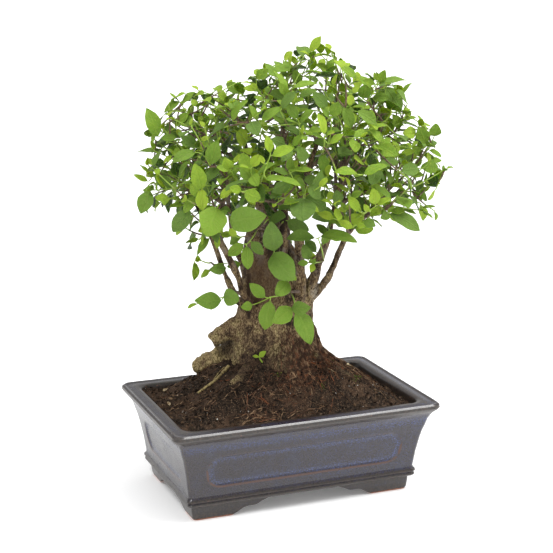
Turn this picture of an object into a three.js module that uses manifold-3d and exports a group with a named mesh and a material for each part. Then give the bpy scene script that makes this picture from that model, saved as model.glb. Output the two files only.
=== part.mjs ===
// A privet bonsai in its glazed pot. Millimetres, +Z up, standing on z = 0.
// The pot's long side runs along X. The tree is planted a little turned in it, its best side to the left.
import * as THREE from "three";
import { mergeVertices } from "three/addons/utils/BufferGeometryUtils.js";
import Module from "manifold-3d";

const wasm = await Module();
wasm.setup();

// Driving sizes of the pot
const POT_LENGTH = 250;
const POT_WIDTH = 168;
const RIM_TOP = 85;
const SLAB_BOTTOM = 13.5;
const FLOOR_TOP = 21;
const CORNER_STEPS = 2;
const FRONT_FOOT = 67;
const SIDE_FOOT = 38;
const PANEL_DEPTH = 1.2;
const PANEL_BOTTOM = 31;
const PANEL_TOP = 60;
const PANEL_RADIUS = 11;
const FRONT_PANEL = 91;
const SIDE_PANEL = 50;
const DRAIN_RADIUS = 7;
const DRAIN_SIDES = 12;
const DRAIN_X = 52;
const MESH_SIDE = 26;
const MESH_THICK = 1;

// The gap that neighbouring pieces keep, so that they touch without overlapping
const GAP = 0.3;

// Driving sizes of the tree
const TREE_TURN = THREE.MathUtils.degToRad(-21.8);
const MOUND_X = 1;
const MOUND_Y = 16;
const MOUND_RISE = 46;
const MOUND_STEEPNESS = 1.3;
const MOUND_STEEPER_LEFT = 0.5;
const BACK_MIRROR = 30;
const BLADE_THICK = 1.2;
const STEM_RADIUS = 0.9;
const TWIG_TIP_RADIUS = 1.3;
const TWIG_THICKEST = 1.9;
const STEM_TAPER = 0.7;
const STALK_RADIUS = 0.6;
const BIG_LEAF = 15;

// A point of the tree: x to the right of the trunk as its best side is seen, y away behind it, z up
const TURN_COS = Math.cos(TREE_TURN);
const TURN_SIN = Math.sin(TREE_TURN);
const at = (x, y, z) => new THREE.Vector3(x * TURN_COS - y * TURN_SIN, x * TURN_SIN + y * TURN_COS, z);
const behind = (x, y, z) => at(x, BACK_MIRROR - y, z);

// A repeatable draw from 0 to 1 for the pair of numbers a and b
function draw(a, b) {
  const value = Math.sin(a * 12.9898 + b * 78.233) * 43758.5453;
  return value - Math.floor(value);
}

// Closed solids from lists of rings: each ring has the same number of points, and the ends are capped
function solidFromTriangles(positions, triangles) {
  const geometry = new THREE.BufferGeometry();
  geometry.setAttribute("position", new THREE.Float32BufferAttribute(positions, 3));
  geometry.setIndex(triangles);
  const merged = mergeVertices(geometry, 1e-4);
  return new wasm.Manifold(
    new wasm.Mesh({
      numProp: 3,
      vertProperties: new Float32Array(merged.attributes.position.array),
      triVerts: new Uint32Array(merged.index.array),
    }),
  );
}

function loft(rings) {
  const count = rings[0].length;
  const positions = [];
  const triangles = [];
  for (const ring of rings) for (const p of ring) positions.push(p.x, p.y, p.z);
  for (let k = 0; k + 1 < rings.length; k++) {
    for (let i = 0; i < count; i++) {
      const a = k * count + i;
      const b = k * count + ((i + 1) % count);
      triangles.push(a, b, b + count, a, b + count, a + count);
    }
  }
  for (const [ring, facingDown] of [[0, true], [rings.length - 1, false]]) {
    const start = ring * count;
    for (let i = 1; i + 1 < count; i++) {
      const fan = facingDown ? [start, start + i + 1, start + i] : [start, start + i, start + i + 1];
      triangles.push(...fan);
    }
  }
  return solidFromTriangles(positions, triangles);
}

function solidFromGeometry(geometry) {
  const bare = geometry.clone();
  bare.deleteAttribute("normal");
  bare.deleteAttribute("uv");
  const merged = mergeVertices(bare, 1e-4);
  return solidFromTriangles(Array.from(merged.attributes.position.array), Array.from(merged.index.array));
}

const join = (solids) => solids.reduce((whole, next) => whole.add(next));

function meshOf(name, solid, material) {
  const data = solid.getMesh();
  const geometry = new THREE.BufferGeometry();
  geometry.setAttribute("position", new THREE.BufferAttribute(data.vertProperties, 3));
  geometry.setIndex(new THREE.BufferAttribute(data.triVerts, 1));
  const mesh = new THREE.Mesh(geometry, material);
  mesh.name = name;
  return mesh;
}

// Materials
const finish = (color, roughness) => new THREE.MeshStandardMaterial({ color, roughness, metalness: 0 });
const GLAZE = finish(0x4b5468, 0.25);
const SOIL = finish(0x2e2119, 0.95);
const BARK = finish(0x6b5a41, 0.85);
const LEAF = finish(0x6aa32b, 0.45);
const MESH_PLASTIC = finish(0x1c1c1c, 0.6);

// The pot: a ring of its wall is a rectangle with round corners, inset from the rim's outer edge
function wallRing(inset, z, radius) {
  const halfX = POT_LENGTH / 2 - inset;
  const halfY = POT_WIDTH / 2 - inset;
  const corners = [[1, -1, -90], [1, 1, 0], [-1, 1, 90], [-1, -1, 180]];
  const ring = [];
  for (const [sx, sy, from] of corners) {
    for (let i = 0; i <= CORNER_STEPS; i++) {
      const angle = THREE.MathUtils.degToRad(from + (90 * i) / CORNER_STEPS);
      const x = sx * (halfX - radius) + radius * Math.cos(angle);
      const y = sy * (halfY - radius) + radius * Math.sin(angle);
      ring.push(new THREE.Vector3(x, y, z));
    }
  }
  return ring;
}

// Inset, height and corner radius up the outside: ledge, hollow wall, then the lip and its bead
const OUTSIDE = [
  [20.5, SLAB_BOTTOM, 4],
  [17, 16.4, 4],
  [16.7, 20, 4],
  [18.8, 22.8, 4],
  [16.6, 38, 4],
  [13.9, 52, 4],
  [10.4, 65, 4],
  [6, 75, 5],
  [1.4, 79.5, 8],
  [0, 82.2, 8],
  [1.6, RIM_TOP, 8],
];
const BEAD_INNER = [4.2, RIM_TOP - 0.8, 8];
const TOP_INNER = [13.6, RIM_TOP - 0.6, 12];

// The inside from the rim down to the floor
const INSIDE = [
  [15, RIM_TOP - 3, 11],
  [18.5, 64, 9],
  [23.5, 34, 8],
  [25.5, FLOOR_TOP, 7],
];

// The foot frame under the slab, outside and inside, in the same terms
const FOOT_OUTSIDE = [
  [25, 0, 3],
  [23, 2.5, 3],
  [21.8, SLAB_BOTTOM + 1, 3],
];
const FOOT_INSIDE = [
  [37, -1, 2],
  [36, SLAB_BOTTOM, 2],
];

// An arch between two feet, with its stepped shelf: how far past the foot's start, and how high
const ARCH_STEPS = [
  [-37, SLAB_BOTTOM + 0.4],
  [-28, 10.5],
  [-22, 7.6],
  [-12, 7],
  [-5, 3],
  [0, 0.6],
  [3, -1],
];

const ringsOf = (rows) => rows.map(([inset, z, radius]) => wallRing(inset, z, radius));

function archShape(footStart) {
  const half = ARCH_STEPS.map(([past, z]) => [footStart + past, z]);
  const shape = new THREE.Shape();
  shape.moveTo(half[0][0], half[0][1]);
  for (const [x, z] of half.slice(1)) shape.lineTo(x, z);
  for (const [x, z] of half.slice().reverse()) shape.lineTo(-x, z);
  return shape;
}

// The outline of a sunk panel, a rectangle with round corners
function panelShape(halfLength) {
  const reach = halfLength - PANEL_RADIUS;
  const low = PANEL_BOTTOM + PANEL_RADIUS;
  const high = PANEL_TOP - PANEL_RADIUS;
  const shape = new THREE.Shape();
  shape.moveTo(-reach, PANEL_BOTTOM);
  shape.lineTo(reach, PANEL_BOTTOM);
  shape.absarc(reach, low, PANEL_RADIUS, -Math.PI / 2, 0, false);
  shape.absarc(reach, high, PANEL_RADIUS, 0, Math.PI / 2, false);
  shape.absarc(-reach, high, PANEL_RADIUS, Math.PI / 2, Math.PI, false);
  shape.absarc(-reach, low, PANEL_RADIUS, Math.PI, 1.5 * Math.PI, false);
  return shape;
}

// A shape drawn in X and Z, pushed right through the pot along Y, or turned to go through along X
function pushedThrough(shape, alongX, curveSegments) {
  const depth = 2 * POT_LENGTH;
  const geometry = new THREE.ExtrudeGeometry(shape, { depth, bevelEnabled: false, curveSegments });
  geometry.translate(0, 0, -depth / 2);
  geometry.rotateX(Math.PI / 2);
  if (alongX) geometry.rotateZ(Math.PI / 2);
  return solidFromGeometry(geometry);
}

function makePot() {
  const body = loft(ringsOf([...OUTSIDE, BEAD_INNER, TOP_INNER]));
  const overTop = [TOP_INNER[0], RIM_TOP + 5, TOP_INNER[2]];
  const cavity = loft(ringsOf([...INSIDE.slice().reverse(), TOP_INNER, overTop]));
  // The foot frame runs round under the slab, and arches cut it into four corner feet
  const frontArch = pushedThrough(archShape(FRONT_FOOT), false, 1);
  const sideArch = pushedThrough(archShape(SIDE_FOOT), true, 1);
  const footFrame = loft(ringsOf(FOOT_OUTSIDE)).subtract(loft(ringsOf(FOOT_INSIDE)));
  const feet = footFrame.subtract(frontArch).subtract(sideArch);
  // The sunk panels follow the wall: only what lies outside the wall, moved in by the depth, is cut away
  const wallMovedIn = loft(ringsOf(OUTSIDE.map(([inset, z, radius]) => [inset + PANEL_DEPTH, z, radius])));
  const frontPanel = pushedThrough(panelShape(FRONT_PANEL), false, 3);
  const sidePanel = pushedThrough(panelShape(SIDE_PANEL), true, 3);
  const drains = [-DRAIN_X, DRAIN_X].map((x) => {
    const hole = new THREE.CylinderGeometry(DRAIN_RADIUS, DRAIN_RADIUS, 2 * FLOOR_TOP, DRAIN_SIDES);
    hole.rotateX(Math.PI / 2);
    hole.translate(x, 0, FLOOR_TOP / 2);
    return solidFromGeometry(hole);
  });
  return body
    .subtract(cavity)
    .add(feet)
    .subtract(frontPanel.subtract(wallMovedIn))
    .subtract(sidePanel.subtract(wallMovedIn))
    .subtract(join(drains));
}

// The soil: rings from the pot's inner wall to the trunk, heaped up in the middle
const SOIL_AROUND = 20;
const INSIDE_CORNER = 10;
const SOIL_RINGS = [1, 0.8, 0.58, 0.3];
const SOIL_LUMP = 2.4;
const SOIL_EDGE = 16.2;
const SOIL_SKIRT = [
  [26.2, FLOOR_TOP + MESH_THICK + 2 * GAP],
  [24.2, 34],
  [19.2, 64],
];
// Its height along the rim, and how much lower it lies towards the right end
const SOIL_AT_RIM = 81.5;
const SOIL_DIP = 4;

// Where a ray from the middle of the mound meets a rectangle of the pot's inside
function soilEdge(angle, inset) {
  const ring = wallRing(inset, 0, INSIDE_CORNER);
  const dx = Math.cos(angle);
  const dy = Math.sin(angle);
  for (let i = 0; i < ring.length; i++) {
    const a = ring[i];
    const b = ring[(i + 1) % ring.length];
    const ex = b.x - a.x;
    const ey = b.y - a.y;
    const cross = dx * ey - dy * ex;
    const reach = ((a.x - MOUND_X) * ey - (a.y - MOUND_Y) * ex) / cross;
    const along = ((a.x - MOUND_X) * dy - (a.y - MOUND_Y) * dx) / cross;
    if (reach > 0 && along >= 0 && along <= 1) return reach;
  }
  throw new Error("the ray misses the pot");
}

const soilRim = (x) => SOIL_AT_RIM - SOIL_DIP * THREE.MathUtils.smoothstep(x, 20, 110);

// The mound falls away more steeply on the tree's left than on its right
function soilHeight(x, y) {
  const dx = x - MOUND_X;
  const dy = y - MOUND_Y;
  const apart = Math.hypot(dx, dy);
  const out = Math.min(1, apart / soilEdge(Math.atan2(dy, dx), SOIL_EDGE));
  const toRight = (dx * TURN_COS + dy * TURN_SIN) / apart;
  return soilRim(x) + MOUND_RISE * (1 - out * out) ** (MOUND_STEEPNESS + MOUND_STEEPER_LEFT * (1 - toRight));
}

// Rays all round the mound, the nearest ones turned so that they run into the pot's four corners
function soilAngles() {
  const step = (2 * Math.PI) / SOIL_AROUND;
  const angles = Array.from({ length: SOIL_AROUND }, (_, i) => i * step);
  const halfX = POT_LENGTH / 2 - SOIL_EDGE;
  const halfY = POT_WIDTH / 2 - SOIL_EDGE;
  for (const [x, y] of [[halfX, halfY], [-halfX, halfY], [-halfX, -halfY], [halfX, -halfY]]) {
    const angle = (Math.atan2(y - MOUND_Y, x - MOUND_X) + 2 * Math.PI) % (2 * Math.PI);
    angles[Math.round(angle / step)] = angle;
  }
  return angles;
}

function soilRing(share, inset, z) {
  const ring = [];
  for (const [i, angle] of soilAngles().entries()) {
    const reach = soilEdge(angle, inset) * share;
    const x = MOUND_X + reach * Math.cos(angle);
    const y = MOUND_Y + reach * Math.sin(angle);
    const lump = share < 1 ? SOIL_LUMP * (draw(i, 7 * share) - 0.5) : 0;
    ring.push(new THREE.Vector3(x, y, z === undefined ? soilHeight(x, y) + lump : z));
  }
  return ring;
}

function makeSoil() {
  const skirt = SOIL_SKIRT.map(([inset, z]) => soilRing(1, inset, z));
  return loft([...skirt, ...SOIL_RINGS.map((share) => soilRing(share, SOIL_EDGE))]);
}

// Paths: a bent stretch is a Bezier curve through its first and last point, drawn towards those between
function bezier(points, t) {
  let row = points;
  while (row.length > 1) row = row.slice(1).map((p, i) => row[i].clone().lerp(p, t));
  return row[0];
}

function samples(points, count) {
  const list = [];
  for (let i = 0; i <= count; i++) list.push(bezier(points, i / count));
  return list;
}

// Two directions square to a third
function across(direction) {
  const helper = Math.abs(direction.z) < 0.9 ? new THREE.Vector3(0, 0, 1) : new THREE.Vector3(1, 0, 0);
  const u = new THREE.Vector3().crossVectors(helper, direction).normalize();
  return [u, new THREE.Vector3().crossVectors(direction, u)];
}

// A round, tapered length of wood or stem along a path
function tube(path, startRadius, endRadius, sides) {
  const last = path.length - 1;
  let [u, v] = across(path[1].clone().sub(path[0]).normalize());
  const rings = path.map((p, k) => {
    const direction = path[Math.min(k + 1, last)].clone().sub(path[Math.max(k - 1, 0)]).normalize();
    u = u.addScaledVector(direction, -u.dot(direction)).normalize();
    v = new THREE.Vector3().crossVectors(direction, u);
    const radius = startRadius + ((endRadius - startRadius) * k) / last;
    const ring = [];
    for (let i = 0; i < sides; i++) {
      const angle = (2 * Math.PI * i) / sides;
      const outwards = u.clone().multiplyScalar(Math.cos(angle)).addScaledVector(v, Math.sin(angle));
      ring.push(p.clone().addScaledVector(outwards, radius));
    }
    return ring;
  });
  return loft(rings);
}

// The trunk: a squat stump whose rings are x, y, z, half width and half depth
const STUMP_RINGS = [
  [4, 17, 94, 57, 43],
  [1, 17, 112, 49, 39],
  [-3, 16, 121, 42, 35],
  [-4, 15, 135, 38, 32],
  [-3, 15, 150, 35, 30],
  [0, 15, 175, 32, 27],
  [-4, 14, 200, 27, 23],
  [-8, 13, 221, 21, 19],
  [-10, 13, 236, 17, 15],
];
const STUMP_SIDES = 12;
const STUMP_SLANT = 5;
const ROOT_SIDES = 6;
const LIMB_SIDES = 5;
const TWIG_SIDES = 3;
// How far the stump's foot flares into five buttresses, and how far burls and hollows stand off its round
const FLARE = 0.09;
const BURL = 0.05;

function stumpRing([cx, cy, z, rx, ry], level, grow) {
  const ring = [];
  for (let i = 0; i < STUMP_SIDES; i++) {
    const angle = (2 * Math.PI * i) / STUMP_SIDES;
    const flare = FLARE * Math.max(0, 1 - level / 4) * Math.sin(5 * angle + 0.8);
    const burl = BURL * (Math.sin(3 * angle + 0.7 * level) + draw(i, level) - 0.5);
    const swell = 1 + flare + burl;
    const slant = level === STUMP_RINGS.length - 1 ? STUMP_SLANT * Math.cos(angle) : 0;
    const x = cx + (rx * swell + grow) * Math.cos(angle);
    const y = cy + (ry * swell + grow) * Math.sin(angle);
    ring.push(at(x, y, z + slant));
  }
  return ring;
}

// Cut root stubs and roots: points, then the radius at each end
const ROOTS = [
  [[[-30, 8, 146], [-46, 5, 141], [-60, 3, 133]], 11, 6.5],
  [[[-30, 14, 124], [-52, 22, 112], [-75, 34, 98]], 14, 8],
  [[[-57, 4, 130], [-54, 8, 121], [-55, 18, 112]], 0.9, 0.8],
  [[[32, 2, 116], [54, -4, 105], [74, -8, 94]], 8, 3.5],
  [[[-20, -8, 120], [-33, -30, 109], [-46, -48, 96]], 7, 3],
  [[[10, 44, 118], [14, 56, 108], [18, 70, 92]], 8, 4],
];

// Limbs: points from the stump outwards, then the radius at each end
const LIMBS = [
  [[[-27, 2, 160], [-35, -5, 172], [-41, -8, 185], [-47, -12, 200],
    [-55, -15, 225], [-64, -12, 246], [-74, -4, 264]], 3.4, 1.8],
  [[[-22, -8, 165], [-30, -20, 181], [-34, -25, 198],
    [-44, -30, 221], [-50, -32, 237], [-48, -28, 262]], 4.2, 1.8],
  [[[-12, 12, 190], [-9, 8, 209], [-10, 8, 235], [-16, 5, 257], [-23, 0, 287], [-29, 0, 318]], 6, 1.9],
  [[[2, 0, 190], [5, -8, 215], [5, -10, 242], [7, -15, 270], [9, -20, 292], [6, -16, 318]], 5, 1.8],
  [[[15, 2, 160], [20, -8, 181], [19, -8, 228], [20, -12, 261], [26, -15, 290], [35, -10, 316]], 6, 1.8],
  [[[22, 6, 165], [30, 0, 184], [36, 0, 204], [44, -2, 227], [49, -6, 253], [58, -6, 290]], 5.2, 1.8],
  [[[20, 8, 160], [33, 2, 177], [43, 4, 189], [50, 6, 202],
    [57, 6, 220], [66, 4, 237], [84, 4, 255]], 4.6, 1.8],
  [[[-18, 22, 165], [-30, 36, 190], [-40, 44, 220], [-46, 50, 262]], 4.6, 1.8],
  [[[4, 24, 185], [8, 36, 215], [6, 44, 248], [0, 47, 276]], 5, 1.8],
  [[[20, 22, 165], [34, 34, 190], [46, 42, 225], [58, 44, 268]], 4.8, 1.8],
];

// Leafy branches as seen from the best side. A branch is its shoots, which start at one seat on a twig.
// A shoot is its points, then the leaves set by hand, then how many more pairs it bears and their size.
// A leaf set by hand is base x, base z, tip x, tip z, width and age, from 0 for young to 2 for old.
const BRANCHES = [
  { name: "crown_tip", shoots: [
    [[[27, 0, 331], [28, -4, 364], [28, -4, 391]],
      [[28, 392, 37, 405, 8, 0.3], [28, 387, 19, 392, 2, 0.3], [29, 387, 37, 390, 2, 0.4]], 2, 12],
  ] },
  { name: "top_centre", shoots: [
    [[[5, 0, 331], [7, 5, 357], [11, 5, 376]],
      [[11, 380, 12, 390, 3, 0.1], [15, 377, -7, 374, 8, 0.8], [19, 363, 14, 375, 9, 1.2]], 1, 14],
    [[[5, 0, 331], [6, -30, 347], [8, -38, 361]],
      [[9, 362, -4, 379, 5, 0.5], [8, 359, 1, 368, 8, 0.8], [13, 364, 33, 368, 6, 0.7]], 0, 0],
  ] },
  { name: "top_left", shoots: [
    [[[-3, 0, 335], [-10, -15, 352], [-18, -20, 362]],
      [[-17, 362, -29, 362, 6, 0], [-17, 362, -23, 367, 4, 0], [-17, 371, -8, 377, 9, 0.6]], 0, 0],
    [[[-3, 0, 335], [-23, 12, 342], [-31, 14, 354]],
      [[-30, 355, -45, 363, 10, 1.2]], 1, 18],
  ] },
  { name: "left_top", shoots: [
    [[[-28, 5, 324], [-38, 0, 338], [-44, 0, 348]],
      [[-44, 348, -52, 360, 7, 0.5], [-55, 339, -45, 346, 5, 1.5]], 1, 15],
    [[[-28, 5, 324], [-32, -40, 333], [-35, -45, 337]],
      [[-38, 338, -25, 355, 7, 0.8], [-17, 338, -24, 351, 6, 0.9]], 0, 0],
  ] },
  { name: "left_high", shoots: [
    [[[-58, 5, 306], [-71, 5, 331], [-84, 5, 346]],
      [[-85, 348, -99, 339, 7, 1], [-83, 347, -71, 357, 6, 0.9], [-86, 349, -94, 356, 2, 0.8],
      [-89, 327, -77, 339, 8, 0.8]], 0, 0],
    [[[-58, 5, 306], [-62, -8, 332], [-69, -8, 346]],
      [], 3, 10],
  ] },
  { name: "left_upper", shoots: [
    [[[-70, 5, 288], [-89, 0, 314], [-101, -5, 328]],
      [[-104, 319, -113, 344, 13, 0.5], [-88, 318, -101, 318, 7, 1.3]], 1, 10],
    [[[-70, 5, 288], [-95, 12, 302], [-112, 12, 318]],
      [[-111, 319, -117, 319, 3, 0.2], [-99, 303, -124, 304, 4, 0.9]], 1, 12],
  ] },
  { name: "left_inner", shoots: [
    [[[-46, -15, 293], [-58, -30, 307], [-68, -32, 314]],
      [[-69, 315, -81, 322, 10, 2], [-65, 319, -57, 322, 4, 0]], 1, 18],
    [[[-46, -15, 293], [-52, -48, 298], [-57, -52, 300]],
      [[-56, 302, -50, 322, 13, 0.9], [-69, 312, -88, 304, 10, 1.2]], 0, 0],
  ] },
  { name: "left_mid", shoots: [
    [[[-72, 5, 272], [-93, 0, 279], [-111, 0, 284]],
      [[-114, 279, -126, 285, 5, 0.1], [-112, 286, -121, 294, 2, 0.4],
      [-92, 273, -108, 286, 11, 1.8]], 1, 14],
    [[[-72, 5, 272], [-94, -10, 273], [-109, -10, 273]],
      [[-111, 272, -119, 252, 14, 1.2]], 2, 16],
  ] },
  { name: "left_front", shoots: [
    [[[-43, -20, 273], [-55, -52, 285], [-63, -60, 284]],
      [[-63, 282, -69, 304, 13, 0.3], [-63, 282, -63, 264, 11, 0.2], [-67, 276, -72, 288, 8, 0.8]], 0, 0],
    [[[-43, -20, 273], [-58, -30, 264], [-72, -36, 264]],
      [[-75, 260, -90, 241, 15, 1.6], [-69, 272, -80, 258, 9, 1]], 0, 0],
  ] },
  { name: "left_low", shoots: [
    [[[-54, -36, 250], [-50, -62, 266], [-49, -70, 271]],
      [[-50, 268, -58, 244, 23, 0.6]], 0, 0],
    [[[-54, -36, 250], [-62, -30, 240], [-68, -20, 231]],
      [[-59, 232, -70, 217, 7, 1]], 2, 12],
  ] },
  { name: "front_left", shoots: [
    [[[-14, -25, 242], [-28, -68, 249], [-38, -78, 257]],
      [[-39, 258, -9, 262, 22, 0.6]], 0, 0],
    [[[-14, -25, 242], [-20, -58, 240], [-27, -58, 234]],
      [[-29, 235, -42, 225, 10, 1], [-26, 233, -25, 213, 11, 1], [-22, 237, -12, 226, 9, 1.6]], 0, 0],
  ] },
  { name: "front_high_left", shoots: [
    [[[-17, -20, 266], [-8, -72, 290], [-29, -86, 284]],
      [[-30, 285, -39, 288, 7, 0.2], [-28, 284, -14, 278, 11, 0.5], [-9, 295, 20, 289, 7, 0.4]], 0, 0],
    [[[-17, -20, 266], [-10, -80, 300], [-6, -90, 315]],
      [[-6, 317, -9, 331, 7, 0.2], [-4, 315, 13, 321, 9, 0.2], [-11, 308, -14, 315, 4, 0.2]], 0, 0],
    [[[-17, -20, 266], [-33, -60, 288], [-39, -70, 300]],
      [[-39, 301, -43, 309, 9, 0.4]], 1, 12],
  ] },
  { name: "front_centre", shoots: [
    [[[19, -15, 252], [24, -52, 273], [23, -64, 282]],
      [[21, 275, 21, 255, 21, 1.8], [27, 286, 35, 274, 10, 1.8], [11, 288, -5, 280, 10, 2]], 0, 0],
    [[[19, -15, 252], [17, -62, 285], [10, -74, 299]],
      [[9, 300, 30, 300, 5, 0.6], [23, 308, 16, 319, 10, 1.5]], 1, 16],
  ] },
  { name: "front_high", shoots: [
    [[[12, -15, 287], [12, -50, 307], [10, -56, 318]],
      [[6, 319, -5, 323, 9, 2]], 2, 16],
    [[[12, -15, 287], [20, -46, 322], [18, -50, 337]],
      [[16, 340, 8, 353, 9, 1.3], [-13, 338, 3, 349, 8, 1]], 1, 16],
  ] },
  { name: "front_high_right", shoots: [
    [[[35, -15, 300], [47, -48, 325], [44, -52, 341]],
      [[45, 341, 50, 353, 10, 0.9], [42, 341, 31, 354, 6, 0.9], [41, 350, 29, 362, 10, 2]], 0, 0],
    [[[35, -15, 300], [39, -66, 316], [38, -72, 328]],
      [[38, 330, 33, 347, 7, 0.1], [43, 322, 54, 330, 6, 0.5]], 1, 12],
  ] },
  { name: "top_right", shoots: [
    [[[38, 0, 326], [42, 8, 353], [43, 8, 374]],
      [[43, 375, 49, 385, 7, 0.8], [43, 377, 33, 380, 6, 0.8]], 2, 14],
    [[[38, 0, 326], [56, 22, 350], [65, 24, 363]],
      [[69, 367, 54, 378, 8, 0.7]], 2, 14],
  ] },
  { name: "right_top", shoots: [
    [[[59, 0, 317], [78, 0, 348], [87, 0, 364]],
      [[84, 364, 73, 367, 6, 0.7], [85, 367, 83, 374, 4, 0.8], [88, 365, 92, 375, 8, 0.5],
      [88, 364, 112, 367, 5, 1], [74, 352, 76, 362, 12, 1]], 0, 0],
    [[[59, 0, 317], [85, 22, 337], [97, 24, 351]],
      [[95, 359, 109, 335, 13, 0.9], [110, 351, 119, 363, 3, 0.8], [84, 351, 98, 349, 9, 1.1]], 0, 0],
  ] },
  { name: "right_upper", shoots: [
    [[[64, -5, 306], [61, -30, 333], [57, -34, 347]],
      [[56, 348, 63, 330, 10, 1.2], [67, 344, 84, 333, 10, 1.2]], 1, 14],
    [[[64, -5, 306], [92, 16, 313], [107, 18, 322]],
      [[108, 324, 101, 335, 9, 0.8], [112, 330, 122, 333, 4, 0.7]], 2, 12],
  ] },
  { name: "right_front_high", shoots: [
    [[[63, -10, 289], [74, -38, 307], [86, -44, 315]],
      [[86, 316, 99, 307, 12, 0.7], [87, 319, 76, 330, 6, 0.8]], 1, 16],
    [[[63, -10, 289], [61, -66, 291], [69, -76, 297]],
      [[68, 297, 45, 299, 7, 0.3], [71, 297, 90, 305, 7, 0.5]], 0, 0],
  ] },
  { name: "right_mid", shoots: [
    [[[95, 5, 271], [105, 2, 287], [106, 0, 302]],
      [[106, 302, 120, 306, 6, 0.2], [106, 307, 112, 312, 5, 0.8], [105, 279, 102, 290, 5, 0.8]], 1, 12],
  ] },
  { name: "right_tip", shoots: [
    [[[109, 9, 280], [124, 14, 287], [131, 16, 304], [138, 16, 316]],
      [[121, 320, 109, 319, 11, 0.3], [132, 308, 123, 324, 13, 0.6], [138, 317, 138, 327, 11, 1],
      [127, 300, 118, 307, 8, 1], [133, 305, 145, 298, 5, 0.8], [127, 297, 121, 290, 6, 1]], 0, 0],
  ] },
  { name: "right_far", shoots: [
    [[[104, -2, 267], [134, 4, 280], [147, 2, 290]],
      [[137, 285, 134, 296, 9, 0.8], [148, 290, 154, 291, 2, 0.4], [115, 284, 129, 284, 6, 0.9]], 2, 8],
    [[[104, -2, 267], [119, 16, 269], [127, 18, 266]],
      [[128, 277, 123, 267, 8, 2], [127, 268, 135, 270, 5, 0.6], [126, 268, 133, 258, 6, 1.2],
      [120, 267, 129, 259, 6, 0.8]], 0, 0],
  ] },
  { name: "right_low", shoots: [
    [[[92, -8, 257], [112, 8, 254], [129, 10, 251]],
      [[129, 254, 140, 255, 3, 1], [128, 250, 138, 245, 3, 0.8], [107, 253, 124, 248, 4, 0.9]], 2, 9],
    [[[92, -8, 257], [90, -24, 257], [96, -26, 256]],
      [[97, 255, 123, 240, 13, 1]], 1, 16],
  ] },
  { name: "right_front", shoots: [
    [[[60, -10, 241], [71, -50, 258], [83, -58, 268]],
      [[82, 268, 79, 282, 10, 0.1], [83, 268, 95, 274, 5, 0.3], [68, 263, 59, 276, 8, 0.2],
      [76, 263, 72, 269, 5, 0.2]], 0, 0],
    [[[60, -10, 241], [58, -46, 247], [66, -52, 250]],
      [[47, 256, 33, 261, 7, 0.1], [63, 248, 51, 254, 7, 0], [67, 250, 74, 249, 5, 0.1],
      [73, 254, 82, 249, 8, 1.6]], 0, 0],
  ] },
  { name: "right_front_low", shoots: [
    [[[39, -10, 209], [38, -42, 230], [34, -46, 238]],
      [[37, 239, 68, 234, 10, 0.5], [31, 238, 7, 237, 10, 1.2]], 0, 0],
    [[[39, -10, 209], [31, -40, 214], [27, -44, 216]],
      [[27, 217, 22, 232, 9, 1.7]], 2, 10],
  ] },
  { name: "centre_low", shoots: [
    [[[4, -28, 208], [0, -50, 223], [-3, -56, 228]],
      [[-3, 229, -6, 254, 17, 1.3], [-4, 226, 13, 203, 22, 0.9]], 0, 0],
    [[[4, -28, 208], [12, -48, 205], [10, -52, 202]],
      [[10, 202, -1, 189, 13, 1.2]], 0, 0],
  ] },
  { name: "low_front", shoots: [
    [[[12, -32, 187], [4, -50, 188], [-7, -54, 188]],
      [[-11, 188, -24, 200, 10, 1.1], [-6, 187, -11, 159, 15, 0.9], [-22, 181, -31, 179, 8, 1.2]], 0, 0],
    [[[12, -32, 187], [16, -46, 184], [14, -50, 177]],
      [[12, 177, -4, 165, 15, 0.9], [12, 177, 28, 178, 12, 1.3], [16, 175, 29, 145, 16, 0.6]], 0, 0],
  ] },
  { name: "low_left", shoots: [
    [[[-38, -28, 187], [-42, -34, 188], [-48, -38, 183]],
      [[-49, 181, -71, 181, 15, 1], [-48, 184, -33, 184, 15, 1.4], [-70, 178, -78, 174, 3, 0.3]], 0, 0],
  ] },
  { name: "low_left_high", shoots: [
    [[[-55, -19, 208], [-60, -20, 209], [-68, -20, 213]],
      [[-73, 211, -73, 194, 6, 0.3], [-45, 206, -59, 205, 10, 1.4], [-33, 209, -44, 206, 8, 1]], 1, 9],
  ] },
];

// Branches that the back of the crown repeats, mirrored through the tree and moved a little
const ALSO_BEHIND = [
  "left_inner", "left_front", "left_low", "front_left", "front_high_left", "front_centre", "right_upper",
  "right_front_high", "right_front", "centre_low",
];

// How far a branch behind moves sideways, in depth and in height, at most half of it each way
const BACK_SHIFT = [16, 10, 12];

// Plain leafy branches that fill the crown: seat, then the tips of its shoots, each with pairs of leaves
const FILLER_LIFT = 4;
const FILLER_PAIRS = 2;
const FILLER_LEAF = 20;
const FILLERS = [
  ["back_left", [-62, 48, 258], [[-92, 74, 268], [-84, 62, 292], [-70, 92, 256]]],
  ["back_left_high", [-40, 52, 300], [[-66, 72, 320], [-40, 88, 318], [-48, 56, 340]]],
  ["back_crown", [4, 46, 322], [[-12, 66, 350], [14, 74, 346], [8, 44, 368]]],
  ["back_right_high", [52, 44, 306], [[74, 68, 326], [54, 84, 318], [62, 50, 346]]],
  ["back_right", [74, 46, 258], [[106, 68, 268], [96, 54, 290], [80, 92, 254]]],
  ["back_middle", [6, 62, 270], [[-8, 98, 280], [26, 104, 286], [6, 88, 304]]],
];

// What already has its place: a leaf or stem of another branch is bent clear of it
const placed = [];

function meets(first, second) {
  const shared = first.intersect(second);
  const hit = !shared.isEmpty();
  shared.delete();
  return hit;
}

function boxesApart(a, b) {
  return [0, 1, 2].some((i) => a.max[i] < b.min[i] || b.max[i] < a.min[i]);
}

function hits(solid, sameOwner, owner) {
  const box = solid.boundingBox();
  for (const other of placed) {
    if ((other.owner === owner) !== sameOwner || boxesApart(box, other.box)) continue;
    if (meets(solid, other.solid)) return true;
  }
  return false;
}

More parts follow.
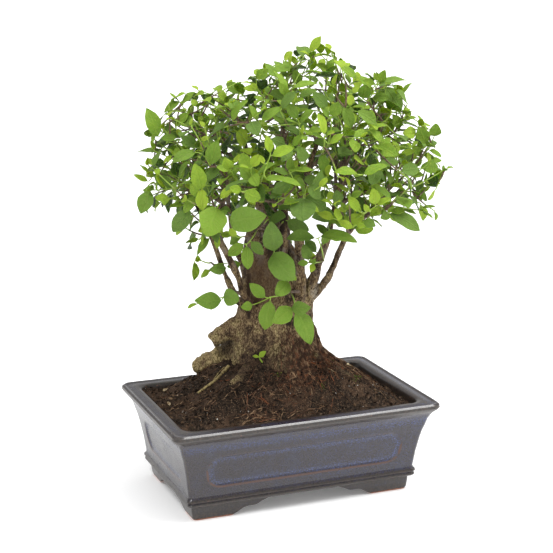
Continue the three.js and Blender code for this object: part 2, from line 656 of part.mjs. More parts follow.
function place(owner, solid) {
  placed.push({ owner, solid, box: solid.boundingBox() });
  return solid;
}

// A blade is folded up along its midrib, thick there and thin at its rim. Its root is inside the stem.
// Each row of its outline is how far along the blade, and how wide against the full width.
const SMALL_OUTLINE = [[0.34, 0.98], [0.72, 0.72]];
const BIG_OUTLINE = [[0.22, 0.78], [0.5, 1], [0.8, 0.6]];
const FOLD = 0.22;
const ARCH = 0.05;
const BLADE_MIDDLE = 0.45;

function bladeSolid({ root, base, tip, width, normal }, grow) {
  const axis = tip.clone().sub(base);
  const length = axis.length();
  axis.normalize();
  const side = new THREE.Vector3().crossVectors(normal, axis).normalize();
  const up = new THREE.Vector3().crossVectors(axis, side);
  const outline = width > BIG_LEAF ? BIG_OUTLINE : SMALL_OUTLINE;
  const edge = (sign) =>
    outline.map(([along, share]) => {
      const half = (width * share) / 2;
      return base
        .clone()
        .addScaledVector(axis, along * length)
        .addScaledVector(side, sign * (half + grow))
        .addScaledVector(up, FOLD * half + ARCH * length);
    });
  const rim = [root, ...edge(-1), tip.clone().addScaledVector(axis, grow), ...edge(1).reverse()];
  const middle = base.clone().addScaledVector(axis, BLADE_MIDDLE * length).addScaledVector(up, ARCH * length);
  const top = middle.clone().addScaledVector(up, grow);
  const bottom = middle.clone().addScaledVector(up, -BLADE_THICK - grow);
  const count = rim.length;
  const positions = [...top.toArray(), ...bottom.toArray()];
  const triangles = [];
  if (grow === 0) {
    for (const p of rim) positions.push(...p.toArray());
    for (let i = 0; i < count; i++) {
      const next = 2 + ((i + 1) % count);
      triangles.push(0, 2 + i, next, 1, next, 2 + i);
    }
    return solidFromTriangles(positions, triangles);
  }
  for (const sign of [1, -1]) {
    for (const p of rim) positions.push(...p.clone().addScaledVector(up, sign * grow).toArray());
  }
  for (let i = 0; i < count; i++) {
    const here = 2 + i;
    const next = 2 + ((i + 1) % count);
    triangles.push(0, here, next, 1, next + count, here + count);
    triangles.push(here + count, next + count, next, here + count, next, here);
  }
  return solidFromTriangles(positions, triangles);
}

// The nearest point of some paths, where a leaf grows from, a little in from each end
const ROOT_MARGIN = 1.2;
const ROOT_OFFSET = 0.3;

function nearestOn(paths, point) {
  let best = null;
  for (const path of paths) {
    for (let i = 0; i + 1 < path.length; i++) {
      const line = new THREE.Line3(path[i], path[i + 1]);
      const margin = ROOT_MARGIN / line.distance();
      const share = THREE.MathUtils.clamp(line.closestPointToPointParameter(point, true), margin, 1 - margin);
      const spot = line.at(share, new THREE.Vector3());
      const gap = spot.distanceTo(point);
      if (!best || gap < best.gap) best = { spot, gap };
    }
  }
  return best;
}

// A leaf is its blade, and a leafstalk where its blade starts well off the stem
function leafSolid(leaf, grow) {
  const reach = leaf.tip.distanceTo(leaf.base);
  const stalk = leaf.base.clone().sub(leaf.root);
  const axis = leaf.tip.clone().sub(leaf.base).normalize();
  const inLine = stalk.length() < 0.8 * reach && stalk.dot(axis) > -0.2 * reach;
  if (inLine) return bladeSolid(leaf, grow);
  const inside = leaf.base.clone().addScaledVector(axis, 0.18 * reach);
  const blade = bladeSolid({ ...leaf, root: leaf.base }, grow);
  return blade.add(tube([leaf.root, inside], STALK_RADIUS + grow, STALK_RADIUS + grow, TWIG_SIDES));
}

// How far a leaf may move nearer or farther, and turn round its stem, to come clear of its neighbours
const DEPTH_TRIES = [0, -3, 3, -6, 6, -10, 10, -14, 14];
const TURN_TRIES = [0, 25, -25, 50, -50, 75, 100];
const TEST_GROW = 0.25;

// A leaf takes the first of its candidates that is clear, and is left off where none is
function placeLeaf(branch, candidates) {
  for (const strict of [true, false]) {
    for (const leaf of candidates) {
      const grown = leafSolid(leaf, TEST_GROW);
      const clash = hits(grown, false, branch) || (strict && hitsBlade(leaf, branch));
      grown.delete();
      if (!clash) return place(branch, leafSolid(leaf, 0));
    }
  }
  return null;
}

// Leaves of one branch keep off each other too where they can: the half next to the stem is let be
function hitsBlade(leaf, branch) {
  const base = leaf.base.clone().lerp(leaf.tip, 0.3);
  const outer = bladeSolid({ ...leaf, root: base, base, width: 0.9 * leaf.width }, 0.1);
  const hit = hits(outer, true, branch);
  outer.delete();
  return hit;
}

// A leaf seen from the front at its own length and width. Where it looks too short for its width it
// points partly towards the eye, and where it looks too narrow it is rolled about its midrib.
const SLIM = 0.52;
const PLUMP = 0.62;
const MOST_LEAN = 1.3;
const MOST_ROLL = 1.2;

function seenLeaf([bx, bz, tx, tz, width], y, put, eye) {
  const looks = Math.hypot(tx - bx, tz - bz);
  const long = Math.max(looks, Math.min(width / PLUMP, MOST_LEAN * looks));
  const wide = Math.max(width, SLIM * long);
  const roll = Math.min(MOST_ROLL, Math.acos(Math.min(1, width / wide)));
  const nearer = Math.sqrt(long * long - looks * looks);
  return DEPTH_TRIES.map((shift) => {
    const base = put(bx, y + shift, bz);
    const tip = put(tx, y + shift, tz).addScaledVector(eye, nearer);
    const axis = tip.clone().sub(base).normalize();
    const facing = eye.clone().addScaledVector(axis, -eye.dot(axis)).normalize();
    const turned = [roll, -roll].map((angle) => facing.clone().applyAxisAngle(axis, angle));
    const normal = turned[0].z > turned[1].z ? turned[0] : turned[1];
    return { base, tip, width: wide, normal };
  });
}

// Pairs of leaves grow opposite each other, each pair a quarter turn on from the last
function pairLeaf(path, share, turn, size, outward) {
  const spot = share * (path.length - 1);
  const i = Math.min(Math.floor(spot), path.length - 2);
  const base = path[i].clone().lerp(path[i + 1], spot - i);
  const stem = path[i + 1].clone().sub(path[i]).normalize();
  const [u, v] = across(stem);
  return TURN_TRIES.map((more) => {
    const angle = turn + THREE.MathUtils.degToRad(more);
    const away = u.clone().multiplyScalar(Math.cos(angle)).addScaledVector(v, Math.sin(angle));
    const axis = stem.clone().multiplyScalar(0.55).addScaledVector(away, 0.85);
    axis.z += 0.1;
    axis.normalize();
    const lean = outward.clone().addScaledVector(axis, -outward.dot(axis)).normalize();
    const tip = base.clone().addScaledVector(axis, size);
    const root = base.clone().addScaledVector(away, ROOT_OFFSET);
    return { root, base: root, tip, width: SLIM * size, normal: lean };
  });
}

// Stems bow out of the way by moving their middle points
const BOW_TRIES = [
  [0, 0, 0], [0, 0, 5], [5, 0, 0], [-5, 0, 0], [0, 5, 3], [0, -5, 3], [8, 0, 6], [-8, 0, 6], [0, 9, 0],
  [0, -9, 0],
];
const STEM_SPANS = 2;

function placeStem(branch, first, points) {
  for (const [x, y, z] of BOW_TRIES) {
    const bow = new THREE.Vector3(x, y, z);
    const bowed = points.map((p, i) => (i > 0 && i < points.length - 1 ? p.clone().add(bow) : p));
    const path = [...first, ...samples(bowed, STEM_SPANS)];
    const grown = tube(path, STEM_RADIUS + TEST_GROW, STEM_TAPER * STEM_RADIUS + TEST_GROW, TWIG_SIDES);
    const clash = hits(grown, false, branch);
    grown.delete();
    if (clash) continue;
    place(branch, tube(path, STEM_RADIUS, STEM_TAPER * STEM_RADIUS, TWIG_SIDES));
    return path;
  }
  return null;
}

// A root is a straight-sided length through its points
const rootTube = (points, r0, r1) => tube(points.map((p) => at(...p)), r0, r1, ROOT_SIDES);

// A branch in its own place: put gives the place of a point, and eye looks at its outer side
const EYE_FRONT = at(0, -0.974, 0.227);
const EYE_BACK = at(0, 0.974, 0.227);

function readyBranch({ name, shoots }, back, order) {
  if (!back) return { name, shoots, put: at, eye: EYE_FRONT, order };
  const shift = BACK_SHIFT.map((most, i) => most * (draw(order, i + 1) - 0.5));
  const put = (x, y, z) => behind(x + shift[0], y - shift[1], z + shift[2]);
  return { name: `behind_${name}`, shoots, put, eye: EYE_BACK, order };
}

function fillerBranch([name, seat, tips], order) {
  const shoots = tips.map((tip) => {
    const middle = [0, 1, 2].map((i) => (seat[i] + tip[i]) / 2 + (i === 2 ? FILLER_LIFT : 0));
    return [[seat, middle, tip], [], FILLER_PAIRS, FILLER_LEAF];
  });
  return { name, shoots, put: at, eye: EYE_FRONT, order };
}

// A branch starts as one stem, in line with its twig, and its other shoots fork off just above the collar
const COLLAR = 5;
const FORK_AT = 0.75;
const CROWN_MIDDLE = at(14, 15, 250);

function growBranch(ready, twigEnd) {
  const { name, shoots, put, eye, order } = ready;
  const start = twigEnd.tip.clone().addScaledVector(twigEnd.direction, GAP);
  const collar = start.clone().addScaledVector(twigEnd.direction, COLLAR);
  const fork = start.clone().addScaledVector(twigEnd.direction, FORK_AT * COLLAR);
  const paths = shoots.map(([points], s) => {
    const rest = points.slice(1).map((p) => put(...p));
    return s ? placeStem(name, [], [fork, ...rest]) : placeStem(name, [start], [collar, ...rest]);
  });
  const grown = paths.filter((path) => path);
  shoots.forEach(([points, leaves, pairs, size], s) => {
    const path = paths[s];
    if (!path) return;
    const depth = points[points.length - 1][1];
    leaves.forEach((row) => {
      const tries = seenLeaf(row, depth, put, eye);
      for (const leaf of tries) {
        const { spot, gap } = nearestOn(grown, leaf.base);
        const outwards = gap > 0.5 ? leaf.base.clone().sub(spot) : leaf.tip.clone().sub(spot);
        leaf.root = spot.addScaledVector(outwards.normalize(), ROOT_OFFSET);
      }
      placeLeaf(name, tries);
    });
    for (let p = 0; p < pairs; p++) {
      const share = 0.94 - (0.62 * p) / Math.max(pairs, 2);
      for (const half of [0, 1]) {
        const turn = 0.5 * Math.PI * p + Math.PI * half + 0.5 * draw(order, 10 * s + p);
        const long = size * (0.85 + 0.3 * draw(order + 40, 10 * s + 2 * p + half));
        const outward = path[path.length - 1].clone().sub(CROWN_MIDDLE).normalize();
        outward.z += 0.6;
        placeLeaf(name, pairLeaf(path, share, turn, long, outward.normalize()));
      }
    }
  });
}

// Places along a limb where a twig may fork off it, more of them in its last stretch
const FORK_SHARES = [0, 0.33, 0.67];
const LAST_FORK_SHARES = [0, 0.3, 0.6, 0.9];

function limbForks(path, startRadius, endRadius) {
  const forks = [];
  for (let i = 1; i < path.length; i++) {
    for (const share of i === path.length - 1 ? LAST_FORK_SHARES : FORK_SHARES) {
      const radius = startRadius + ((endRadius - startRadius) * (i - 1 + share)) / (path.length - 1);
      forks.push({ p: path[i - 1].clone().lerp(path[i], share), radius, used: 0 });
    }
  }
  return forks;
}

// A twig leaves its limb below the seat of its branch, and each twig at a fork puts the next one off
const TWIG_CLEAR = 6;
const FORK_PRICE = 8;
const TWIG_LIFT = 0.06;
const SHORT_TWIG = 30;

function makeTrunk(ready) {
  place("trunk", loft(STUMP_RINGS.map((ring, level) => stumpRing(ring, level, 0))));
  for (const [points, r0, r1] of ROOTS) place("trunk", rootTube(points, r0, r1));
  const forks = LIMBS.flatMap(([points, r0, r1]) => {
    const path = points.map((p) => at(...p));
    place("trunk", tube(path, r0, r1, LIMB_SIDES));
    return limbForks(path, r0, r1);
  });
  // One twig for each branch, from the nearest free fork below it
  const ends = ready.map((branch) => {
    const seat = branch.put(...branch.shoots[0][0][0]);
    const tooHigh = (p) => Math.max(0, p.z - seat.z + TWIG_CLEAR);
    const costOf = ({ p, used }) => p.distanceTo(seat) + 2 * tooHigh(p) + FORK_PRICE * used;
    const near = forks.filter(({ p }) => p.distanceTo(seat) > TWIG_CLEAR);
    const fork = near.reduce((best, next) => (costOf(next) < costOf(best) ? next : best));
    fork.used += 1;
    const reach = fork.p.distanceTo(seat);
    const middle = fork.p.clone().lerp(seat, 0.5);
    middle.z += TWIG_LIFT * reach;
    const direction = seat.clone().sub(middle).normalize();
    const path = samples([fork.p, middle, seat], reach < SHORT_TWIG ? 1 : 2);
    if (path.length === 2) direction.copy(seat).sub(fork.p).normalize();
    const startRadius = Math.min(TWIG_THICKEST, 0.85 * fork.radius);
    place("trunk", tube(path, startRadius, TWIG_TIP_RADIUS, TWIG_SIDES));
    return { tip: seat, direction };
  });
  return ends;
}

// Each branch has an order number of its own, from which its draws come
const FIRST_BEHIND = 60;
const FIRST_FILLER = 90;
const repeated = BRANCHES.filter(({ name }) => ALSO_BEHIND.includes(name));
const ready = [
  ...BRANCHES.map((branch, i) => readyBranch(branch, false, i)),
  ...repeated.map((branch, i) => readyBranch(branch, true, FIRST_BEHIND + i)),
  ...FILLERS.map((row, i) => fillerBranch(row, FIRST_FILLER + i)),
];
const twigEnds = makeTrunk(ready);
ready.forEach((branch, i) => growBranch(branch, twigEnds[i]));

// Every node, then the whole moved so that the middle of its underside is the origin
const plant = new THREE.Group();
plant.add(meshOf("pot", makePot(), GLAZE));
for (const [side, x] of [["left", -DRAIN_X], ["right", DRAIN_X]]) {
  const box = new THREE.BoxGeometry(MESH_SIDE, MESH_SIDE, MESH_THICK);
  box.translate(x, 0, FLOOR_TOP + GAP + MESH_THICK / 2);
  plant.add(meshOf(`drain_mesh_${side}`, solidFromGeometry(box), MESH_PLASTIC));
}
const holeForStump = loft(STUMP_RINGS.map((ring, level) => stumpRing(ring, level, GAP)));
const holesForRoots = ROOTS.map(([points, r0, r1]) => rootTube(points, r0 + GAP, r1 + GAP));
plant.add(meshOf("soil", makeSoil().subtract(holeForStump).subtract(join(holesForRoots)), SOIL));
const owners = new Set(placed.map(({ owner }) => owner));
for (const owner of owners) {
  const solids = placed.filter((piece) => piece.owner === owner).map(({ solid }) => solid);
  plant.add(meshOf(owner, join(solids), owner === "trunk" ? BARK : LEAF));
}

const bounds = new THREE.Box3().setFromObject(plant);
const middle = bounds.getCenter(new THREE.Vector3());
plant.position.set(-middle.x, -middle.y, -bounds.min.z);

export default plant;
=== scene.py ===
# %% [markdown]
# A privet bonsai in its glazed pot
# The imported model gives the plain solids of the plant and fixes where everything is. This notebook dresses
# them: a glazed pot, crumbly soil full of roots, an old stump with its limbs, and over a thousand leaves.
# Each step says what the piece is on the real plant, how it could be made, and why it was made this way.

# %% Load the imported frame
import math

import bmesh
import bpy
import numpy as np
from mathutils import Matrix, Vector, noise
from mathutils.bvhtree import BVHTree
from mathutils.kdtree import KDTree


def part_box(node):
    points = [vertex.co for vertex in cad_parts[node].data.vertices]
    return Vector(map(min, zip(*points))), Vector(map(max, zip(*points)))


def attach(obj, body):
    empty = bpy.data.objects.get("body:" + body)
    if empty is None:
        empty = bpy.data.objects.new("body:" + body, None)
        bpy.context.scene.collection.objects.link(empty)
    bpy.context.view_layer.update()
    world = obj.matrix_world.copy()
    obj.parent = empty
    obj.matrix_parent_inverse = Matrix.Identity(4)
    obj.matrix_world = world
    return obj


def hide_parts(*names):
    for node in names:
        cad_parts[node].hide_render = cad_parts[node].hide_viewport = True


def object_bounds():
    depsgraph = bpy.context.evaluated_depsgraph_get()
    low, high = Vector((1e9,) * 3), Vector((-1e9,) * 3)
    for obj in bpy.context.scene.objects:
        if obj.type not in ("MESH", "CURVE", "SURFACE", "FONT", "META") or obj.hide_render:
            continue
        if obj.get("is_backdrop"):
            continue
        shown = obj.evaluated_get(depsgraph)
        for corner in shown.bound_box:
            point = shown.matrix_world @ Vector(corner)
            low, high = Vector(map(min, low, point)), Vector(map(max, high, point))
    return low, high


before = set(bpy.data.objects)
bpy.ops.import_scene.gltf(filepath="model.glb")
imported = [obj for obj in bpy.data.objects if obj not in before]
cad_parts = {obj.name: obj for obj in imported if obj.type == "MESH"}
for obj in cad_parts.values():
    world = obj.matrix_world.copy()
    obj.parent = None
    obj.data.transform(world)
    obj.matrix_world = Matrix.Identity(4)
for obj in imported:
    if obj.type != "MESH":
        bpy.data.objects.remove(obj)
CAD_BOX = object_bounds()
print("nodes:", len(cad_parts))

# %% [markdown]
# Two sets of axes
# The pot's sizes were read along the pot and the tree's along the picture, so each keeps its own axes, both
# in millimetres with the middle of the pot at zero. The tree stands turned in its pot by one angle. Working
# in the readings' own axes keeps every number in this file a plain size that can be checked on the plant.

# %% From millimetres on the pot or the tree to metres in the frame
MM = 0.001
TREE_TURN = math.radians(-21.8)
TURN_COS = math.cos(TREE_TURN)
TURN_SIN = math.sin(TREE_TURN)
pot_low, pot_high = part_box("pot")
POT_MIDDLE = np.array([(pot_low.x + pot_high.x) / 2, (pot_low.y + pot_high.y) / 2, 0.0])


def tree_point(x, y, z):
    """A point read on the tree, in the pot's axes and millimetres: x right, y away, z up."""
    return np.array([x * TURN_COS - y * TURN_SIN, x * TURN_SIN + y * TURN_COS, z], float)


def metres(points):
    """Points in the pot's axes and millimetres, as places in the frame."""
    return np.asarray(points, float) * MM + POT_MIDDLE


def millimetres(points):
    """Places in the frame, as points in the pot's axes and millimetres."""
    return (np.asarray(points, float) - POT_MIDDLE) / MM


def unit(direction):
    """The same direction, one long."""
    return direction / np.linalg.norm(direction)


def smoothstep(value, start, end):
    """0 before start, 1 after end, and a soft rise between them."""
    share = np.clip((value - start) / (end - start), 0, 1)
    return share * share * (3 - 2 * share)


print("pot middle in the frame:", POT_MIDDLE.round(5))

# %% [markdown]
# Helpers for modelling by hand
# Every operator acts on what is selected and active, so one helper selects a piece alone, and another
# applies its modifiers as the Apply button does. Vertex places are read and written in one go, which is how
# a sculpting pass over thousands of vertices stays quick.

# %% Select, apply, and move vertices
def alone(piece):
    """Makes a piece the only one that is selected, and the active one."""
    bpy.ops.object.select_all(action="DESELECT")
    piece.select_set(True)
    bpy.context.view_layer.objects.active = piece


def newest(name):
    """Names the primitive that was just added."""
    piece = bpy.context.object
    piece.name = name
    piece.data.name = name
    return piece


def settled(piece):
    """Moves a piece's place, turn and scale into its mesh."""
    alone(piece)
    bpy.ops.object.transform_apply(location=True, rotation=True, scale=True)
    return piece


def with_modifier(piece, kind, **settings):
    """Adds a modifier, sets it and applies it."""
    alone(piece)
    modifier = piece.modifiers.new(kind.title(), kind)
    for setting, value in settings.items():
        setattr(modifier, setting, value)
    bpy.ops.object.modifier_apply(modifier=modifier.name)
    return piece


def places(piece):
    """A piece's vertices in the pot's axes and millimetres."""
    flat = np.empty(3 * len(piece.data.vertices))
    piece.data.vertices.foreach_get("co", flat)
    return millimetres(flat.reshape(-1, 3))


def put_places(piece, points):
    """Moves a piece's vertices to points in the pot's axes and millimetres."""
    piece.data.vertices.foreach_set("co", metres(points).ravel())
    piece.data.update()


def set_values(piece, name, values, kind="FLOAT"):
    """Writes one number for each vertex, for a material or a later step to read."""
    layer = piece.data.attributes.get(name) or piece.data.attributes.new(name, kind, "POINT")
    layer.data.foreach_set("value", values)


def values_of(piece, name):
    """Reads the numbers that set_values wrote."""
    found = np.empty(len(piece.data.vertices))
    piece.data.attributes[name].data.foreach_get("value", found)
    return found


def smooth(piece, degrees):
    """Shades a piece smooth, but for edges sharper than an angle."""
    alone(piece)
    bpy.ops.object.shade_smooth_by_angle(angle=math.radians(degrees))


def triangles_in(piece):
    """How many triangles a piece comes to."""
    return sum(len(face.vertices) - 2 for face in piece.data.polygons)


def grown_with(piece, slot, *nodes):
    """Ties a finished piece to the plant and hides the plain nodes that it stands for. Its slot is not used."""
    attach(piece, "root")
    if nodes:
        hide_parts(*nodes)
    print(piece.name, triangles_in(piece), "triangles")


# %% [markdown]
# Shader sums
# Glaze, bark and leaves get their colours from sums on noise, height and position. Built node by node such
# a sum is hard to read, so a small class wraps an output socket and lets the sum be written as Python. A
# second class holds one material while it is being made and adds every other kind of node.

# %% A value that varies over a surface, and a finish that is made of such values
class Value:
    """An output socket that can be added, multiplied and compared like a number."""

    def __init__(self, finish, socket):
        self.finish = finish
        self.socket = socket

    def maths(self, operation, first, second=0.0, third=0.0):
        return self.finish.node(
            "ShaderNodeMath", {"operation": operation}, {0: first, 1: second, 2: third}
        )

    def __add__(self, other):
        return self.maths("ADD", self, other)

    __radd__ = __add__

    def __sub__(self, other):
        return self.maths("SUBTRACT", self, other)

    def __rsub__(self, other):
        return self.maths("SUBTRACT", other, self)

    def __mul__(self, other):
        return self.maths("MULTIPLY", self, other)

    __rmul__ = __mul__

    def __truediv__(self, other):
        return self.maths("DIVIDE", self, other)

    def __pow__(self, other):
        return self.maths("POWER", self, other)

    def __abs__(self):
        return self.maths("ABSOLUTE", self)

    def sine(self):
        return self.maths("SINE", self)

    def largest(self, other):
        return self.maths("MAXIMUM", self, other)

    def step(self, start, end):
        """0 before start, 1 after end, and a soft rise between them."""
        return self.finish.node(
            "ShaderNodeMapRange",
            {"interpolation_type": "SMOOTHSTEP"},
            {"Value": self, "From Min": start, "From Max": end, "To Min": 0.0, "To Max": 1.0},
        )


class Finish:
    """One material in the making, around a Principled shader."""

    def __init__(self, name, **constants):
        self.material = bpy.data.materials.new(name)
        self.material.use_nodes = True
        self.tree = self.material.node_tree
        self.shader = self.tree.nodes["Principled BSDF"]
        for socket, value in constants.items():
            self.shader.inputs[socket.replace("_", " ")].default_value = value

    def node(self, kind, settings, sockets, output=0):
        """Adds a node: its settings first, then values or links for its sockets."""
        made = self.tree.nodes.new(kind)
        for setting, value in settings.items():
            setattr(made, setting, value)
        for socket, value in sockets.items():
            self.feed(made.inputs[socket], value)
        return Value(self, made.outputs[output])

    def feed(self, socket, value):
        """Gives a socket a value, or links it where the value varies."""
        if isinstance(value, Value):
            self.tree.links.new(value.socket, socket)
        else:
            socket.default_value = value

    def mix(self, factor, first, second):
        """From the first colour to the second."""
        pair = [c if isinstance(c, Value) else (*c, 1.0) for c in (first, second)]
        return self.node(
            "ShaderNodeMix", {"data_type": "RGBA"}, {0: factor, 6: pair[0], 7: pair[1]}, 2
        )

    def attribute(self, name):
        """A number that was written on the vertices."""
        return self.node("ShaderNodeAttribute", {"attribute_name": name}, {}, "Fac")

    def position(self):
        """The place on the piece, in metres."""
        return self.node("ShaderNodeTexCoord", {}, {}, "Object")

    def height(self):
        """The height on the piece, in millimetres."""
        return self.node("ShaderNodeSeparateXYZ", {}, {0: self.position()}, "Z") / MM

    def rightwards(self):
        """How far to the right of the pot's middle, as the tree's best side is seen, in millimetres."""
        x, y = (self.node("ShaderNodeSeparateXYZ", {}, {0: self.position()}, axis) / MM for axis in "XY")
        return (x - POT_MIDDLE[0] / MM) * TURN_COS + (y - POT_MIDDLE[1] / MM) * TURN_SIN

    def noise(self, size, detail=3.0, stretch=(1.0, 1.0, 1.0), rough=0.55):
        """Cloudy noise from 0 to 1, whose blobs are about as large as size, in millimetres."""
        turned = self.node(
            "ShaderNodeMapping", {}, {"Vector": self.position(), "Scale": stretch}
        )
        return self.node(
            "ShaderNodeTexNoise",
            {},
            {"Vector": turned, "Scale": 1 / (size * MM), "Detail": detail, "Roughness": rough},
        )

    def cells(self, size, output="Distance"):
        """Cell noise, as of grains about as large as size, in millimetres."""
        return self.node(
            "ShaderNodeTexVoronoi", {}, {"Vector": self.position(), "Scale": 1 / (size * MM)}, output
        )

    def bump(self, height, depth):
        """Dents as deep as depth, in millimetres, where height goes from 0 to 1."""
        normal = self.node(
            "ShaderNodeBump", {}, {"Height": height, "Distance": depth * MM, "Strength": 1.0}
        )
        self.feed(self.shader.inputs["Normal"], normal)

    def set(self, socket, value):
        """Feeds one of the shader's own sockets."""
        self.feed(self.shader.inputs[socket], value)


print("shader classes ready")

# %% [markdown]
# The pot's wall
# A bonsai pot of this kind is pressed or cast in one piece, with a beaded ledge above the feet, a wall that
# flares to an overhanging lip, and a long sunk panel on each side. It could be lofted in code, but a potter's
# way is closer to extruding: a plane the size of the foot frame gets round corners, and is then raised ring
# by ring up the outside, over the lip and down the inside to the floor.

# %% The profile, from the feet over the rim to the floor inside
POT_LENGTH = 250
POT_WIDTH = 168
# Inset from the rim's outer edge, height, corner radius, and how thin the glaze lies there, up to 1
POT_PROFILE = [
    (25, 0, 3, 1), (23.6, 0.9, 3, 0.9), (22.8, 3, 3, 0.7), (22, 9, 3, 0.6), (21.8, 13, 3, 0.7),
    (20.4, 13.6, 4, 0.7), (18.3, 14.2, 4, 0.8), (17.3, 15.4, 4, 0.85), (17.3, 16.6, 4, 0.7),
    (17.9, 17.5, 4, 0.5), (17.4, 18.2, 4, 0.6), (16.6, 19.2, 4, 0.85), (16.8, 20.5, 4, 0.7),
    (17.9, 21.8, 4, 0.45), (18.5, 23.4, 4, 0.3), (18.2, 26, 4, 0.2), (16.6, 38, 4, 0.15),
    (14.3, 50, 4, 0.15), (12.6, 57.7, 4, 0.15), (10.6, 64, 4, 0.12), (8.8, 70, 4.5, 0.1),
    (6.4, 74.5, 5, 0.3), (3.8, 77.5, 6.5, 0.75), (1.6, 79.2, 7.5, 0.85), (0.3, 81.3, 8, 0.9),
    (0.6, 83.6, 8, 0.85), (2.2, 85, 8, 0.5), (3.6, 84.6, 8, 0.6), (4.6, 84.1, 8.5, 0.7),
    (6, 84.3, 9, 0.2), (9, 84.6, 10.2, 0.15), (11, 84.7, 11, 0.8), (13.4, 84.6, 12, 0.9),
    (14.6, 83.6, 11.5, 0.9), (15.3, 81, 11, 0.9), (16.8, 74, 10, 0.9), (18.5, 64, 9, 0.9),
    (23.5, 34, 8, 0.9), (25.2, 24, 7, 0.9), (28, 21.2, 6, 0.9), (36, 21, 6, 0.9),
]
WALL_FROM = 23
WALL_TO = 78
WALL_STEP = 1.3
CORNER_STEPS = 6
CORNERS = [(1, -1, -90), (1, 1, 0), (-1, 1, 90), (-1, -1, 180)]
SIDE_CUTS = [96, 148, 96, 148]


def finer_profile():
    """The profile with close steps up the outer wall, where the panels are sunk into it."""
    rows = [POT_PROFILE[0]]
    for low, high in zip(POT_PROFILE, POT_PROFILE[1:]):
        on_wall = WALL_FROM < low[1] and WALL_FROM < high[1] < WALL_TO and high[1] > low[1]
        count = max(1, round((high[1] - low[1]) / WALL_STEP)) if on_wall else 1
        for step in range(1, count + 1):
            rows.append(tuple(a + (b - a) * step / count for a, b in zip(low, high)))
    return np.array(rows)


PROFILE = finer_profile()
print("rings up and over the pot's wall:", len(PROFILE))


# %% The outline of one ring
def wall_ring(inset, height, radius):
    """A rectangle with round corners, inset from the rim's outer edge."""
    half = np.array([POT_LENGTH / 2 - inset, POT_WIDTH / 2 - inset])
    arcs = []
    for right, back, start in CORNERS:
        angles = np.radians(start + np.linspace(0, 90, CORNER_STEPS + 1))
        quarter = np.column_stack([np.cos(angles), np.sin(angles)])
        arcs.append((half - radius) * (right, back) + radius * quarter)
    ring = []
    for arc, following, cuts in zip(arcs, arcs[1:] + arcs[:1], SIDE_CUTS):
        share = np.arange(1, cuts + 1)[:, None] / (cuts + 1)
        ring += [arc, arc[-1] * (1 - share) + following[0] * share]
    flat = np.vstack(ring)
    return np.column_stack([flat, np.full(len(flat), height)])


RING_COUNT = len(wall_ring(0, 0, 8))
print("points in each ring:", RING_COUNT)


# %% A plane with round corners, its long sides divided
def start_of_pot():
    """The underside of the foot frame as one flat face, each corner numbered by its place in the ring."""
    inset, _, radius, _ = PROFILE[0]
    size = (POT_LENGTH - 2 * inset, POT_WIDTH - 2 * inset)
    bpy.ops.object.select_all(action="DESELECT")
    bpy.ops.mesh.primitive_plane_add(size=1, location=metres((0, 0, 0)))
    pot = newest("glazed_pot")
    pot.scale = (size[0] * MM, size[1] * MM, 1)
    settled(pot)
    bpy.ops.object.mode_set(mode="EDIT")
    bpy.ops.mesh.bevel(offset=radius * MM, segments=CORNER_STEPS, affect="VERTICES")
    bpy.ops.mesh.delete(type="ONLY_FACE")
    for cuts, along in ((SIDE_CUTS[1], 0), (SIDE_CUTS[0], 1)):
        bpy.ops.mesh.select_all(action="DESELECT")
        shape = bmesh.from_edit_mesh(pot.data)
        for edge in shape.edges:
            run = abs(edge.verts[0].co[along] - edge.verts[1].co[along])
            if run > 0.5 * size[along] * MM:
                edge.select_set(True)
        bmesh.update_edit_mesh(pot.data)
        bpy.ops.mesh.subdivide(number_cuts=cuts)
    bpy.ops.mesh.select_all(action="SELECT")
    bpy.ops.mesh.edge_face_add()
    bpy.ops.object.mode_set(mode="OBJECT")
    ring = KDTree(RING_COUNT)
    for number, point in enumerate(wall_ring(*PROFILE[0][:3])):
        ring.insert(point, number)
    ring.balance()
    set_values(pot, "around", [ring.find(point)[1] for point in places(pot)], "INT")
    return pot


pot = start_of_pot()
print("corners of the first face:", len(pot.data.vertices))


# %% Raise it ring by ring
def raise_wall(pot):
    """Extrudes the top face once for each ring of the profile, and scales it to the ring's inset."""
    set_values(pot, "ring", [0] * len(pot.data.vertices), "INT")
    alone(pot)
    bpy.ops.object.mode_set(mode="EDIT")
    bpy.ops.mesh.select_all(action="SELECT")
    for number in range(1, len(PROFILE)):
        (inset, height), (before, low) = PROFILE[number][:2], PROFILE[number - 1][:2]
        bpy.ops.mesh.extrude_region_move(
            TRANSFORM_OT_translate={"value": (0, 0, (height - low) * MM)}
        )
        bpy.ops.transform.resize(
            value=(
                (POT_LENGTH - 2 * inset) / (POT_LENGTH - 2 * before),
                (POT_WIDTH - 2 * inset) / (POT_WIDTH - 2 * before),
                1,
            ),
            center_override=metres((0, 0, height)),
        )
        shape = bmesh.from_edit_mesh(pot.data)
        layer = shape.verts.layers.int["ring"]
        raised = shape.faces.active or shape
        for vertex in raised.verts:
            if vertex.select:
                vertex[layer] = number
        bmesh.update_edit_mesh(pot.data)
    bpy.ops.mesh.select_all(action="SELECT")
    bpy.ops.mesh.normals_make_consistent(inside=False)
    bpy.ops.object.mode_set(mode="OBJECT")


raise_wall(pot)
print("after raising:", triangles_in(pot), "triangles")

# %% [markdown]
# Corners, panels and the maker's hand
# Scaling keeps every corner about as round as the first one, while the real lip is rounder than the wall.
# So each ring now takes its own corner radius. The panels are sunk where a rounded rectangle is drawn on the
# wall, with a soft edge as pressed clay has, and a slow wobble of a third of a millimetre keeps the wall
# from looking machined.

